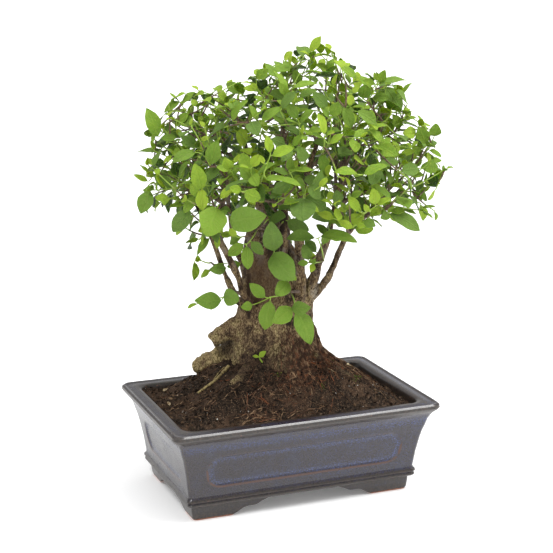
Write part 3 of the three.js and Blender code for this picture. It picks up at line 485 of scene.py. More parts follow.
# %% Give the rings their corners, and sink the panels
PANEL_BOTTOM = 31
PANEL_TOP = 60
PANEL_RADIUS = 13
PANEL_DEPTH = 1.3
PANEL_EDGE = 2.6
FRONT_PANEL = 91
SIDE_PANEL = 50
WOBBLE = 0.3
INSIDE_ROWS = 8


def panel_distance(along, height, half_length):
    """How far a point of the wall is outside a panel's outline, and below 0 inside it."""
    middle = (PANEL_BOTTOM + PANEL_TOP) / 2
    out_along = np.abs(along) - (half_length - PANEL_RADIUS)
    out_up = np.abs(height - middle) - ((PANEL_TOP - PANEL_BOTTOM) / 2 - PANEL_RADIUS)
    corner = np.hypot(np.maximum(out_along, 0), np.maximum(out_up, 0))
    return corner + np.minimum(np.maximum(out_along, out_up), 0) - PANEL_RADIUS


def nearest_panel(points):
    """The panel distance on the wall that a point is on."""
    sideways = POT_WIDTH / 2 - np.abs(points[:, 1]) > POT_LENGTH / 2 - np.abs(points[:, 0])
    return np.where(
        sideways,
        panel_distance(points[:, 1], points[:, 2], SIDE_PANEL),
        panel_distance(points[:, 0], points[:, 2], FRONT_PANEL),
    )


def shape_wall(pot):
    """Puts each vertex on its ring's outline, then sinks the panels and adds the wobble."""
    outlines = np.array([wall_ring(*row[:3]) for row in PROFILE])
    rings = values_of(pot, "ring").astype(int)
    around = values_of(pot, "around").astype(int)
    points = outlines[rings, around]
    height = points[:, 2]
    outer = (height > PANEL_BOTTOM - PANEL_EDGE) & (rings < len(PROFILE) - INSIDE_ROWS)
    sink = PANEL_DEPTH * smoothstep(-nearest_panel(points), 0, PANEL_EDGE) * outer
    sideways = POT_WIDTH / 2 - np.abs(points[:, 1]) > POT_LENGTH / 2 - np.abs(points[:, 0])
    points[:, 0] -= np.sign(points[:, 0]) * sink * sideways
    points[:, 1] -= np.sign(points[:, 1]) * sink * ~sideways
    for k, point in enumerate(points):
        lean = noise.noise(Vector(point) / 45)
        points[k, :2] -= np.sign(point[:2]) * WOBBLE * abs(lean)
    put_places(pot, points)


shape_wall(pot)
print("pot shaped, lowest and highest:", places(pot).min(0).round(1), places(pot).max(0).round(1))

# %% [markdown]
# Feet and drain holes
# The pot stands on four feet: the frame under it is hollowed from below, and a stepped arch is cut through
# each side. Sawing them out with cutters is how one would carve soft clay, so each cutter is a block of the
# arch's outline, pushed right through and subtracted. Two round holes let water out.

# %% Cutters for the hollow, the arches and the drains
SLAB_BOTTOM = 13.5
HOLLOW_INSET = 36
FRONT_FOOT = 67
SIDE_FOOT = 38
ARCH_STEPS = [(-37, 13.9), (-28, 10.5), (-22, 7.8), (-12, 7), (-5, 3), (0, 0.5), (3, -1)]
ARCH_FINENESS = 5
DRAIN_X = 52
DRAIN_RADIUS = 7
DRAIN_SIDES = 40
DRAIN_CUT = 30


def curve_through(points, fineness):
    """A smooth line through points, with some steps for each span."""
    points = np.asarray(points, float)
    padded = np.vstack([2 * points[0] - points[1], points, 2 * points[-1] - points[-2]])
    line = [points[0]]
    for a, b, c, d in zip(padded, padded[1:], padded[2:], padded[3:]):
        for step in range(1, fineness + 1):
            t = step / fineness
            square, cube = 2 * a - 5 * b + 4 * c - d, 3 * (b - c) + d - a
            line.append((2 * b + (c - a) * t + square * t**2 + cube * t**3) / 2)
    return np.array(line)


def block_of(name, outline, depth):
    """A block with an outline in X and Z, extruded along Y to both sides of the pot's middle."""
    mesh = bpy.data.meshes.new(name)
    corners = metres([(x, -depth / 2, z) for x, z in outline])
    mesh.from_pydata([tuple(c) for c in corners], [], [list(range(len(corners)))])
    block = bpy.data.objects.new(name, mesh)
    bpy.context.scene.collection.objects.link(block)
    alone(block)
    bpy.ops.object.mode_set(mode="EDIT")
    bpy.ops.mesh.select_all(action="SELECT")
    bpy.ops.mesh.extrude_region_move(TRANSFORM_OT_translate={"value": (0, depth * MM, 0)})
    bpy.ops.mesh.select_all(action="SELECT")
    bpy.ops.mesh.normals_make_consistent(inside=False)
    bpy.ops.object.mode_set(mode="OBJECT")
    return block


def arch(foot, across_pot):
    """The opening between two feet, for the long or the short side."""
    half = curve_through([(foot + x, z) for x, z in ARCH_STEPS], ARCH_FINENESS)
    outline = [*half, *[(-x, z) for x, z in half[::-1]]]
    block = block_of("arch", outline, 2 * POT_LENGTH)
    if across_pot:
        bpy.ops.object.mode_set(mode="EDIT")
        bpy.ops.transform.rotate(value=math.pi / 2, orient_axis="Z", center_override=metres((0, 0, 0)))
        bpy.ops.object.mode_set(mode="OBJECT")
    return block


def hollow():
    """The space under the slab, inside the foot frame."""
    bpy.ops.object.select_all(action="DESELECT")
    bpy.ops.mesh.primitive_cube_add(size=1, location=metres((0, 0, SLAB_BOTTOM / 2 - 1)))
    block = newest("hollow")
    size = (POT_LENGTH - 2 * HOLLOW_INSET, POT_WIDTH - 2 * HOLLOW_INSET, SLAB_BOTTOM + 2)
    block.scale = [side * MM for side in size]
    settled(block)
    return with_modifier(block, "BEVEL", width=2 * MM, segments=3)


def drain(x):
    """One drain hole."""
    bpy.ops.object.select_all(action="DESELECT")
    bpy.ops.mesh.primitive_cylinder_add(
        vertices=DRAIN_SIDES, radius=DRAIN_RADIUS * MM, depth=DRAIN_CUT * MM,
        location=metres((x, 0, SLAB_BOTTOM + 4)),
    )
    return settled(newest("drain"))


def carve(piece, cutter):
    """Subtracts a cutter, and throws it away."""
    with_modifier(piece, "BOOLEAN", operation="DIFFERENCE", solver="MANIFOLD", object=cutter)
    bpy.data.objects.remove(cutter)


for cutter in (hollow(), arch(FRONT_FOOT, False), arch(SIDE_FOOT, True), drain(-DRAIN_X), drain(DRAIN_X)):
    carve(pot, cutter)
print("pot carved:", triangles_in(pot), "triangles")

# %% [markdown]
# The glaze
# A dark iron body under a rutile blue glaze: the glaze runs off every ridge while it melts, so beads, lip and
# the panel's outline fire brown, and it pools and turns a speckled violet blue above and below them. That is
# a question of place, so each vertex first gets two numbers, how thin and how pooled the glaze is there, and
# the material then mixes its colours from them. Feet and foot edges stay nearly bare.

# %% How thin and how pooled the glaze lies
# Where the outer wall fades in and out, by height, and its largest inset
WALL_STARTS = (22, 26)
WALL_ENDS = (74, 78)
WALL_INSET = 19
LOWER_WALL = (44, 58)
# Middle and half width of the bands: across the panel's outline, and by height
PANEL_LINE = (0.3, 1.1)
PANEL_POOL = (-3.2, 2.0)
POOLED_BAND = (69, 4.5)
UNDER_LIP = (77, 3)
UNDER_BAND = (63.5, 1.6)
CORNER_EDGE = 2.2


def hump(value, middle, half_width):
    """1 in the middle, and falling off softly on both sides."""
    return np.exp(-(((value - middle) / half_width) ** 2))


def glaze_thickness(pot):
    """Writes where the glaze is thin, where the panel's line runs, and where the glaze has pooled."""
    points = places(pot)
    height = points[:, 2]
    from_edges = np.array([POT_LENGTH, POT_WIDTH]) / 2 - np.abs(points[:, :2])
    inset = from_edges.min(1)
    off = (inset[:, None] - PROFILE[:, 0]) ** 2 + (height[:, None] - PROFILE[:, 1]) ** 2
    thin = PROFILE[off.argmin(1), 3]
    wall = smoothstep(height, *WALL_STARTS) * (1 - smoothstep(height, *WALL_ENDS)) * (inset < WALL_INSET)
    distance = nearest_panel(points)
    line = hump(distance, *PANEL_LINE) * (1 - 0.5 * smoothstep(height, *LOWER_WALL))
    edge = hump(from_edges.max(1) - inset, 0, CORNER_EDGE)
    under_lip = hump(height, *UNDER_LIP) + 0.5 * hump(height, *UNDER_BAND)
    pooled = hump(distance, *PANEL_POOL) + 0.7 * hump(height, *POOLED_BAND) - 0.8 * under_lip
    set_values(pot, "thin", np.maximum(thin, wall * 0.75 * edge))
    set_values(pot, "line", wall * line)
    set_values(pot, "pooled", np.clip(wall * pooled, 0, 1))


glaze_thickness(pot)


# %% Blue over brown
def glaze_finish():
    """Speckled blue glaze that breaks to brown where it is thin, over a bare terracotta foot edge."""
    finish = Finish("blue_glaze", Coat_Roughness=0.12)
    speckle = finish.noise(1.0, 2.0, rough=0.6).step(0.46, 0.64)
    to_right = finish.rightwards().step(-40, 70)
    cloud = finish.noise(16, 3.0)
    pooled = finish.attribute("pooled")
    grey = finish.mix(finish.noise(0.9, 3.0).step(0.35, 0.65), (0.010, 0.007, 0.007), (0.027, 0.019, 0.020))
    blue = finish.mix((cloud + pooled * 0.25).step(0.42, 0.75), grey, (0.019, 0.018, 0.029))
    violet = finish.mix(speckle * (0.10 + 0.16 * to_right + 0.62 * pooled), blue, (0.060, 0.082, 0.215))
    thin = finish.attribute("thin") + (finish.noise(3.0, 4.0) - 0.5) * 0.5
    brown = finish.mix(finish.noise(1.6, 3.0).step(0.4, 0.65), (0.015, 0.012, 0.010), (0.042, 0.029, 0.022))
    body = finish.mix(thin.step(0.42, 0.72), violet, brown)
    line = (finish.attribute("line") + (finish.noise(2.4, 3.0) - 0.5) * 0.4).step(0.3, 0.75)
    lined = finish.mix(line, body, (0.058, 0.023, 0.015))
    chipped = (finish.noise(2.2, 2.0) * finish.attribute("thin")).step(0.60, 0.64)
    worn = finish.mix(chipped, lined, (0.16, 0.065, 0.040))
    height = finish.height() + (finish.noise(5, 3.0) - 0.5) * 1.6
    bare = 1 - height.step(0.9, 1.8)
    finish.set("Base Color", finish.mix(bare, worn, (0.34, 0.12, 0.055)))
    finish.set("Roughness", 0.2 + 0.12 * cloud + 0.5 * bare + 0.1 * thin.step(0.4, 0.8))
    finish.set("Coat Weight", (1 - bare) * 0.25)
    finish.bump(finish.noise(7, 4.0) * 0.8 + finish.noise(0.8, 2.0) * 0.12, 0.35)
    return finish.material


pot.data.materials.clear()
pot.data.materials.append(glaze_finish())
smooth(pot, 38)
grown_with(pot, "glaze", "pot")

# %% [markdown]
# Nets over the drain holes
# A square of plastic net keeps the soil in. A grid of wires could be modelled strand by strand, but a flat
# grid with the wireframe modifier turns each of its edges into a bar at once.

# %% Two nets of plastic bars
NET_SIDE = 26
NET_CELLS = 9
NET_BAR = 0.9


def net(name, node):
    """A square plastic net where the plain square is."""
    low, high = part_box(node)
    bpy.ops.object.select_all(action="DESELECT")
    bpy.ops.mesh.primitive_grid_add(
        x_subdivisions=NET_CELLS, y_subdivisions=NET_CELLS, size=(NET_SIDE - NET_BAR) * MM,
        location=(low + high) / 2,
    )
    piece = settled(newest(name))
    with_modifier(piece, "WIREFRAME", thickness=NET_BAR * MM, use_even_offset=False)
    piece.data.materials.append(plastic)
    grown_with(piece, "drain_plastic", node)


def plastic_finish():
    """Black moulded plastic, a little dusty."""
    finish = Finish("black_plastic")
    dust = finish.noise(3, 4.0)
    finish.set("Base Color", finish.mix(dust.step(0.5, 0.8), (0.012, 0.012, 0.013), (0.05, 0.042, 0.034)))
    finish.set("Roughness", 0.45 + 0.3 * dust)
    finish.bump(finish.noise(0.7, 2.0), 0.05)
    return finish.material


plastic = plastic_finish()
for side in ("left", "right"):
    net(f"drain_net_{side}", f"drain_mesh_{side}")

# %% [markdown]
# Strands and scattered copies
# Roots, twigs, stems and leafstalks are all thin round lengths that taper along a bent path. Hundreds of
# curve objects would be slow, so one function lays rings of points along a path, closes both ends, and hands
# back plain points and faces, and another gathers many such parts, or many placed copies of one modelled
# grain, into a single mesh.

# %% Rings along a path, and one mesh from many parts
def unit_rows(rows):
    """Each row as a direction one long."""
    return rows / np.linalg.norm(rows, axis=1)[:, None]


def square_to(direction):
    """Two directions square to a third."""
    helper = np.array([0.0, 0, 1]) if abs(direction[2]) < 0.9 else np.array([1.0, 0, 0])
    first = unit(np.cross(helper, direction))
    return first, np.cross(direction, first)


def rings_along(path, radii, sides):
    """A ring of points round each point of a path, square to it, with no twist between rings."""
    path = np.asarray(path, float)
    runs = np.vstack([path[1] - path[0], path[2:] - path[:-2], path[-1] - path[-2]])
    side = square_to(unit(runs[0]))[0]
    angles = 2 * math.pi * np.arange(sides) / sides
    rings = []
    for point, direction, radius in zip(path, unit_rows(runs), radii):
        side = unit(side - side.dot(direction) * direction)
        other = np.cross(direction, side)
        rings.append(point + radius * (np.outer(np.cos(angles), side) + np.outer(np.sin(angles), other)))
    return np.array(rings)


def strand(path, start_radius, end_radius, sides):
    """A closed, tapered length along a path: its points, then its faces."""
    rings = rings_along(path, np.linspace(start_radius, end_radius, len(path)), sides)
    faces = [list(range(sides))[::-1], list(range((len(path) - 1) * sides, len(path) * sides))]
    for ring in range(len(path) - 1):
        for corner in range(sides):
            here = ring * sides + corner
            beside = ring * sides + (corner + 1) % sides
            faces.append([here, beside, beside + sides, here + sides])
    return rings.reshape(-1, 3), faces


def gathered(name, parts, **numbers):
    """One piece from many parts. Each keyword is a list with one number, or a row of them, for each part."""
    counts = [len(points) for points, _ in parts]
    starts = np.concatenate([[0], np.cumsum(counts)[:-1]])
    mesh = bpy.data.meshes.new(name)
    corners = metres(np.vstack([points for points, _ in parts]))
    faces = [
        [start + corner for corner in face] for start, (_, group) in zip(starts, parts) for face in group
    ]
    mesh.from_pydata(corners.tolist(), [], faces)
    piece = bpy.data.objects.new(name, mesh)
    bpy.context.scene.collection.objects.link(piece)
    for layer, values in numbers.items():
        rows = [np.broadcast_to(value, count) for value, count in zip(values, counts)]
        set_values(piece, layer, np.concatenate(rows))
    return piece


print("strands ready")

# %% [markdown]
# The soil
# Old bonsai compost: dark, crumbly, heaped up to the trunk and full of fine roots. The surface is a close
# grid raised to the height of the mound and roughened with noise at three sizes. A skirt is extruded down the
# inside of the pot and closed, so that the soil is a body. Noise alone looks like cloth, though, so crumbs,
# grit and root hair are then scattered on it as real small pieces.

# %% The mound's height
MOUND = np.array([1.0, 16.0])
MOUND_RISE = 46
MOUND_STEEPNESS = 1.3
MOUND_STEEPER = 0.5
MOUND_ROUNDING = 0.35
SOIL_LEVEL = 81.5
RIGHT_DROP = 4
RIGHT_DROP_SPAN = (20, 110)
SOIL_REACH = 16
GROUND_LUMPS = [(16, 2.4), (6, 1.6), (2.4, 0.9)]


def mound_height(x, y):
    """The smooth height of the soil: level along the rim, lower at the right, heaped up at the trunk."""
    half_x, half_y = POT_LENGTH / 2 - SOIL_REACH, POT_WIDTH / 2 - SOIL_REACH
    out_x = np.where(x > MOUND[0], (x - MOUND[0]) / (half_x - MOUND[0]), (MOUND[0] - x) / (half_x + MOUND[0]))
    out_y = np.where(y > MOUND[1], (y - MOUND[1]) / (half_y - MOUND[1]), (MOUND[1] - y) / (half_y + MOUND[1]))
    out = np.clip(np.maximum(out_x, out_y), 0, 1)
    rounded = np.clip(np.hypot(np.minimum(out_x, out_y) * MOUND_ROUNDING, out), 0, 1)
    apart = np.maximum(np.hypot(x - MOUND[0], y - MOUND[1]), 1e-6)
    to_right = ((x - MOUND[0]) * TURN_COS + (y - MOUND[1]) * TURN_SIN) / apart
    steepness = MOUND_STEEPNESS + MOUND_STEEPER * (1 - to_right)
    level = SOIL_LEVEL - RIGHT_DROP * smoothstep(x, *RIGHT_DROP_SPAN)
    return level + MOUND_RISE * (1 - rounded**2) ** steepness


def ground(x, y):
    """The rough height of the soil at one spot."""
    height = float(mound_height(np.float64(x), np.float64(y)))
    for size, rise in GROUND_LUMPS:
        height += rise * noise.noise(Vector((x / size, y / size, size)))
    return height


print("soil at the trunk and in front:", round(ground(*MOUND), 1), round(ground(0, -60), 1))

# %% The soil's surface and body
SOIL_STEP = 1.3
SOIL_CORNER = 9
SOIL_EDGE = 15.8
# Heights and insets down the inside of the pot
SOIL_SKIRT = [(64, 18.9), (34, 23.9), (22.4, 26.4)]


def round_corners(points):
    """Draws the grid's four corners in to the round corners of the pot's inside."""
    limit = np.array([POT_LENGTH / 2 - SOIL_EDGE, POT_WIDTH / 2 - SOIL_EDGE]) - SOIL_CORNER
    past = np.maximum(np.abs(points[:, :2]) - limit, 0)
    reach = np.hypot(past[:, 0], past[:, 1])
    square = np.maximum(past.max(1), 1e-6)
    shrink = np.where(past.min(1) > 0, square / np.maximum(reach, 1e-6), 1)
    inner = np.sign(points[:, :2]) * (np.minimum(np.abs(points[:, :2]), limit) + past * shrink[:, None])
    return np.column_stack([inner, points[:, 2]])


def soil_body():
    """A grid across the pot's inside, heaped up, with a skirt down to the floor."""
    size = (POT_LENGTH - 2 * SOIL_EDGE, POT_WIDTH - 2 * SOIL_EDGE)
    bpy.ops.object.select_all(action="DESELECT")
    bpy.ops.mesh.primitive_grid_add(
        x_subdivisions=round(size[0] / SOIL_STEP), y_subdivisions=round(size[1] / SOIL_STEP), size=1,
        location=metres((0, 0, 80)),
    )
    soil = newest("heaped_soil")
    soil.scale = (size[0] * MM, size[1] * MM, 1)
    settled(soil)
    points = round_corners(places(soil))
    points[:, 2] = [ground(x, y) for x, y in points[:, :2]]
    put_places(soil, points)
    alone(soil)
    bpy.ops.object.mode_set(mode="EDIT")
    bpy.ops.mesh.select_all(action="DESELECT")
    bpy.ops.mesh.select_mode(type="EDGE")
    bpy.ops.mesh.select_non_manifold()
    before = SOIL_EDGE
    for height, inset in SOIL_SKIRT:
        bpy.ops.mesh.extrude_region_move()
        bpy.ops.transform.resize(
            value=(
                (POT_LENGTH - 2 * inset) / (POT_LENGTH - 2 * before),
                (POT_WIDTH - 2 * inset) / (POT_WIDTH - 2 * before),
                0,
            ),
            center_override=metres((0, 0, height)),
        )
        before = inset
    bpy.ops.mesh.edge_face_add()
    bpy.ops.mesh.select_all(action="SELECT")
    bpy.ops.mesh.normals_make_consistent(inside=False)
    bpy.ops.object.mode_set(mode="OBJECT")
    return soil


soil = soil_body()
print("soil lowest and highest:", places(soil).min(0).round(1), places(soil).max(0).round(1))


# %% Dark, damp compost
def soil_finish():
    """Dark brown crumbs with reddish peat, and small pale specks."""
    finish = Finish("compost", Specular_IOR_Level=0.1)
    crumbs = finish.noise(1.7, 4.0)
    patches = finish.noise(22, 3.0)
    dark = finish.mix(crumbs.step(0.38, 0.62), (0.005, 0.0035, 0.0026), (0.030, 0.019, 0.012))
    peat = finish.mix((finish.noise(4.5, 4.0) * patches * 2).step(0.42, 0.7), dark, (0.052, 0.031, 0.019))
    pale = finish.mix(finish.noise(0.9, 1.0).step(0.64, 0.72), peat, (0.20, 0.14, 0.095))
    finish.set("Base Color", pale)
    finish.set("Roughness", 0.96 - 0.16 * crumbs.step(0.3, 0.5))
    finish.bump(crumbs * 0.7 + finish.noise(0.6, 2.0) * 0.3, 1.3)
    return finish.material


soil.data.materials.append(soil_finish())
smooth(soil, 50)
grown_with(soil, "soil", "soil")

# %% [markdown]
# Crumbs, grit and root hair
# One grain is modelled from an ico sphere with its corners pushed about, and copied at every size and turn.
# Small counts of faces matter here: 2,600 grains at twenty triangles are still a light piece.
# The fine roots are the soil's most striking part. They lie in loose, bent lines, rusty where they come off
# the trunk and straw-coloured elsewhere, densest at the trunk's right foot and near the front rim.

# %% A grain, and where it is scattered
SOIL_SEED = 11
GRAIN_PUSH = 0.3
scatter = np.random.default_rng(SOIL_SEED)


def one_grain():
    """A rough grain one across: its points and faces."""
    bpy.ops.object.select_all(action="DESELECT")
    bpy.ops.mesh.primitive_ico_sphere_add(subdivisions=1, radius=0.5)
    grain = newest("grain")
    bpy.ops.object.mode_set(mode="EDIT")
    bpy.ops.mesh.select_all(action="SELECT")
    bpy.ops.transform.vertex_random(offset=GRAIN_PUSH, uniform=0.3, normal=0.7, seed=SOIL_SEED)
    bpy.ops.transform.resize(value=(1.1, 0.85, 0.7), center_override=(0, 0, 0))
    bpy.ops.object.mode_set(mode="OBJECT")
    shape = (
        np.array([vertex.co for vertex in grain.data.vertices]),
        [list(face.vertices) for face in grain.data.polygons],
    )
    bpy.data.objects.remove(grain)
    return shape


def turned(points, axis, angle):
    """Points turned round an axis through zero."""
    axis = unit(np.asarray(axis, float))
    cos, sin = math.cos(angle), math.sin(angle)
    return points * cos + np.cross(axis, points) * sin + np.outer(points @ axis, axis) * (1 - cos)


def any_spot():
    """A random spot on the soil, in the pot's axes."""
    half = np.array([POT_LENGTH / 2 - SOIL_EDGE - 2, POT_WIDTH / 2 - SOIL_EDGE - 2])
    return scatter.uniform(-half, half)


def grains(name, count, smallest, largest, sunk):
    """Copies of the grain, each with its own size and turn, pressed a little into the soil."""
    points, faces = one_grain()
    parts, tones = [], []
    for _ in range(count):
        x, y = any_spot()
        size = smallest * (largest / smallest) ** (scatter.random() ** 2)
        shape = turned(points * size, scatter.normal(size=3), scatter.uniform(0, math.tau))
        parts.append((shape + (x, y, ground(x, y) + (0.5 - sunk) * size), faces))
        tones.append(scatter.random())
    return gathered(name, parts, tone=tones)


crumbs = grains("soil_crumbs", count=2600, smallest=1.0, largest=4.2, sunk=0.35)
grit = grains("pale_grit", count=60, smallest=0.7, largest=2.0, sunk=0.2)


# %% Finishes of the crumbs and the grit
def crumb_finish():
    """Compost crumbs, each of its own tone."""
    finish = Finish("compost_crumbs", Specular_IOR_Level=0.1)
    tone = finish.attribute("tone")
    plain = finish.mix(tone ** 3, (0.007, 0.0045, 0.003), (0.110, 0.068, 0.042))
    finish.set("Base Color", finish.mix(finish.noise(0.8, 3.0).step(0.5, 0.72), plain, (0.040, 0.024, 0.015)))
    finish.set("Roughness", 0.92 + 0.05 * tone)
    finish.bump(finish.noise(0.5, 3.0), 0.5)
    return finish.material


def grit_finish():
    """Perlite and sand, off-white to grey."""
    finish = Finish("perlite_grit")
    tone = finish.attribute("tone")
    finish.set("Base Color", finish.mix(tone, (0.2, 0.17, 0.13), (0.62, 0.6, 0.55)))
    finish.set("Roughness", 0.8 + 0.1 * tone)
    finish.bump(finish.noise(0.4, 2.0), 0.2)
    return finish.material


for piece, finish in ((crumbs, crumb_finish()), (grit, grit_finish())):
    piece.data.materials.append(finish)
    grown_with(piece, "soil")

# %% Root hair on the soil
FIBRE_SIDES = 3
FIBRE_SPANS = 7
# Where the fine roots lie thickest: x, y, spread, count, length, and how rusty from 0 to 1
ROOT_MATS = [
    (38, -2, 9, 150, 16, 0.95), (58, 4, 13, 120, 30, 0.5), (20, -26, 14, 70, 20, 0.75),
    (-16, -50, 13, 70, 18, 0.7), (-26, -58, 7, 30, 22, 0.4), (8, -54, 22, 70, 13, 0.5),
    (-60, -22, 26, 70, 11, 0.35), (70, 40, 22, 70, 14, 0.5), (-50, 40, 26, 50, 12, 0.4),
    (0, 56, 30, 60, 14, 0.5), (80, -20, 16, 60, 14, 0.4), (-88, 10, 14, 40, 12, 0.3),
]
# Roots read one by one from the picture: points on the soil, radius, how rusty, and how far it lifts off
LAID_ROOTS = [
    ([(-29, -17), (-34, -22), (-40, -27)], 0.5, 0.8, 0.8),
    ([(-42, -33), (-44, -40), (-51, -53)], 0.45, 0.9, 1),
    ([(-55, -36), (-43, -38), (-32, -34)], 0.4, 0.7, 1.5),
    ([(-24, -30), (-33, -35), (-40, -39)], 0.4, 0.5, 1),
    ([(-27, -51), (-38, -51), (-48, -57), (-61, -65)], 0.55, 0.15, 3),
    ([(-34, -50), (-45, -55), (-53, -54), (-63, -52)], 0.5, 0.35, 2),
    ([(-30, -55), (-43, -59), (-53, -62), (-60, -66)], 0.5, 0.25, 1.5),
    ([(-40, -47), (-44, -55), (-41, -62)], 0.4, 0.6, 2),
    ([(-4, -63), (5, -60), (15, -59), (23, -58)], 0.45, 0.5, 2),
    ([(-16, -64), (-5, -59), (6, -62)], 0.4, 0.3, 1), ([(0, -24), (4, -27), (6, -33)], 0.55, 0, 0.5),
    ([(-23, -40), (-12, -38), (-9, -45)], 0.35, 0.4, 1), ([(-17, -22), (-19, -27), (-28, -34)], 0.4, 0.9, 1),
    ([(29, -16), (36, -25), (45, -33)], 0.7, 0.95, 0.5), ([(36, -15), (45, -23), (56, -27)], 0.6, 0.85, 1),
    ([(22, -19), (26, -29), (27, -39)], 0.5, 0.9, 1), ([(40, -8), (56, -14), (72, -18)], 0.8, 0.8, 0.5),
    ([(44, -2), (62, -6), (80, -8)], 0.6, 0.6, 1), ([(60, -16), (68, -26), (70, -38)], 0.4, 0.4, 1.5),
    ([(-86, 8), (-92, 2), (-100, 0)], 0.5, 0.1, 1.5), ([(-70, -30), (-80, -38), (-84, -50)], 0.4, 0.5, 1),
    ([(-95, -30), (-88, -42), (-92, -55)], 0.4, 0.4, 1.5), ([(56, 4), (66, 2), (76, -2)], 0.9, 0, 1),
]
LAID_FINENESS = 4
LAID_SIDES = 5
FIBRE_LIFT = 2.2
FIBRE_RADII = (0.13, 0.36)


def laid_root(points, radius, lift):
    """One root that lies along its points."""
    flat = curve_through([(x, y, 0) for x, y in points], LAID_FINENESS)
    share = np.linspace(0, 1, len(flat))
    path = [(x, y, ground(x, y) + 0.4 + lift * math.sin(math.pi * s)) for (x, y, _), s in zip(flat, share)]
    return strand(path, radius, 0.55 * radius, LAID_SIDES)


def fibre(x, y, length, heading):
    """A thin root that wanders over the soil and now and then lifts off it."""
    path = []
    lift = scatter.uniform(0, FIBRE_LIFT)
    bend = scatter.normal() * 0.25
    for step in range(FIBRE_SPANS + 1):
        arched = math.sin(math.pi * step / FIBRE_SPANS)
        path.append((x, y, ground(x, y) + 0.25 + lift * arched))
        heading += bend + scatter.normal() * 0.28
        x += math.cos(heading) * length / FIBRE_SPANS
        y += math.sin(heading) * length / FIBRE_SPANS
    return path


def inside_rim(path):
    """True where a path stays on the soil."""
    half = np.array([POT_LENGTH / 2 - SOIL_EDGE - 1, POT_WIDTH / 2 - SOIL_EDGE - 1])
    return bool(np.all(np.abs(np.array(path)[:, :2]) < half))


def root_hair():
    """All the fine roots, thick where the mats are."""
    parts, rust = [], []
    for x, y, spread, count, length, rusty in ROOT_MATS:
        for _ in range(count):
            start = np.array([x, y]) + scatter.normal(size=2) * spread
            away = math.atan2(start[1] - MOUND[1], start[0] - MOUND[0])
            path = fibre(*start, length * scatter.uniform(0.5, 1.5), away + scatter.normal() * 0.8)
            if not inside_rim(path):
                continue
            thick = scatter.uniform(*FIBRE_RADII)
            parts.append(strand(path, thick, 0.5 * thick, FIBRE_SIDES))
            rust.append(np.clip(rusty + scatter.normal() * 0.3, 0, 1))
    for points, radius, rusty, lift in LAID_ROOTS:
        parts.append(laid_root(points, radius, lift))
        rust.append(rusty)
    return gathered("root_hair", parts, rust=rust)


def fibre_finish():
    """From straw to rusty brown, each root its own."""
    finish = Finish("fine_roots", Specular_IOR_Level=0.2)
    rust = finish.attribute("rust")
    dry = finish.mix(rust.step(0.1, 0.75), (0.300, 0.195, 0.110), (0.120, 0.058, 0.032))
    dry = finish.mix(rust.step(0.85, 1.0), dry, (0.210, 0.070, 0.028))
    finish.set("Base Color", finish.mix(finish.noise(4, 2.0).step(0.36, 0.60), dry, (0.040, 0.020, 0.012)))
    finish.set("Roughness", 0.7 + 0.2 * rust)
    finish.bump(finish.noise(0.5, 2.0), 0.1)
    return finish.material


roots_on_soil = root_hair()
roots_on_soil.data.materials.append(fibre_finish())
grown_with(roots_on_soil, "soil")

# %% [markdown]
# The stump, its roots and its limbs
# An old privet trunk, cut back many times: squat, flared at the foot, with two sawn root stubs at the left
# and limbs that spring from its shoulders. It grew as one piece, so it is built as one. A circle is extruded
# ring by ring to the stump's outline, roots and limbs are laid along their paths, and a voxel remesh melts
# them together, which leaves soft webs where limbs join, as in living wood. The bark is then raised by
# moving vertices with noise, long fissures above and knobs below, for real depth along the outline.

# %% Readings of the stump, the roots and the limbs
# Middle x, y, height, half width and half depth of the stump's rings, on the tree's axes
STUMP_RINGS = [
    (4, 17, 94, 57, 43), (1, 17, 112, 49, 39), (-3, 16, 121, 42, 35), (-4, 15, 135, 38, 32),
    (-3, 15, 150, 35, 30), (0, 15, 175, 32, 27), (-4, 14, 200, 27, 23), (-8, 13, 221, 21, 19),
    (-10, 13, 236, 17, 15),
]
STUMP_SIDES = 12
STUMP_SLANT = 5
# Paths, then the radius at each end
ROOTS = [
    ([(-30, 8, 146), (-46, 5, 141), (-60, 3, 133)], 11, 6.5),
    ([(-30, 14, 124), (-52, 22, 112), (-75, 34, 98)], 14, 8),
    ([(32, 2, 116), (54, -4, 105), (74, -8, 94)], 8, 3.5),
    ([(-20, -8, 120), (-33, -30, 109), (-46, -48, 96)], 7, 3),
    ([(10, 44, 118), (14, 56, 108), (18, 70, 92)], 8, 4),
]
LIMBS = [
    ([(-27, 2, 160), (-35, -5, 172), (-41, -8, 185), (-47, -12, 200), (-55, -15, 225), (-64, -12, 246),
      (-74, -4, 264)], 3.4, 1.8),
    ([(-22, -8, 165), (-30, -20, 181), (-34, -25, 198), (-44, -30, 221), (-50, -32, 237),
      (-48, -28, 262)], 4.2, 1.8),
    ([(-12, 12, 190), (-9, 8, 209), (-10, 8, 235), (-16, 5, 257), (-23, 0, 287), (-29, 0, 318)], 6, 1.9),
    ([(2, 0, 190), (5, -8, 215), (5, -10, 242), (7, -15, 270), (9, -20, 292), (6, -16, 318)], 5, 1.8),
    ([(15, 2, 160), (20, -8, 181), (19, -8, 228), (20, -12, 261), (26, -15, 290), (35, -10, 316)], 6, 1.8),
    ([(22, 6, 165), (30, 0, 184), (36, 0, 204), (44, -2, 227), (49, -6, 253), (58, -6, 290)], 5.2, 1.8),
    ([(20, 8, 160), (33, 2, 177), (43, 4, 189), (50, 6, 202), (57, 6, 220), (66, 4, 237),
      (84, 4, 255)], 4.6, 1.8),
    ([(-18, 22, 165), (-30, 36, 190), (-40, 44, 220), (-46, 50, 262)], 4.6, 1.8),
    ([(4, 24, 185), (8, 36, 215), (6, 44, 248), (0, 47, 276)], 5, 1.8),
    ([(20, 22, 165), (34, 34, 190), (46, 42, 225), (58, 44, 268)], 4.8, 1.8),
]


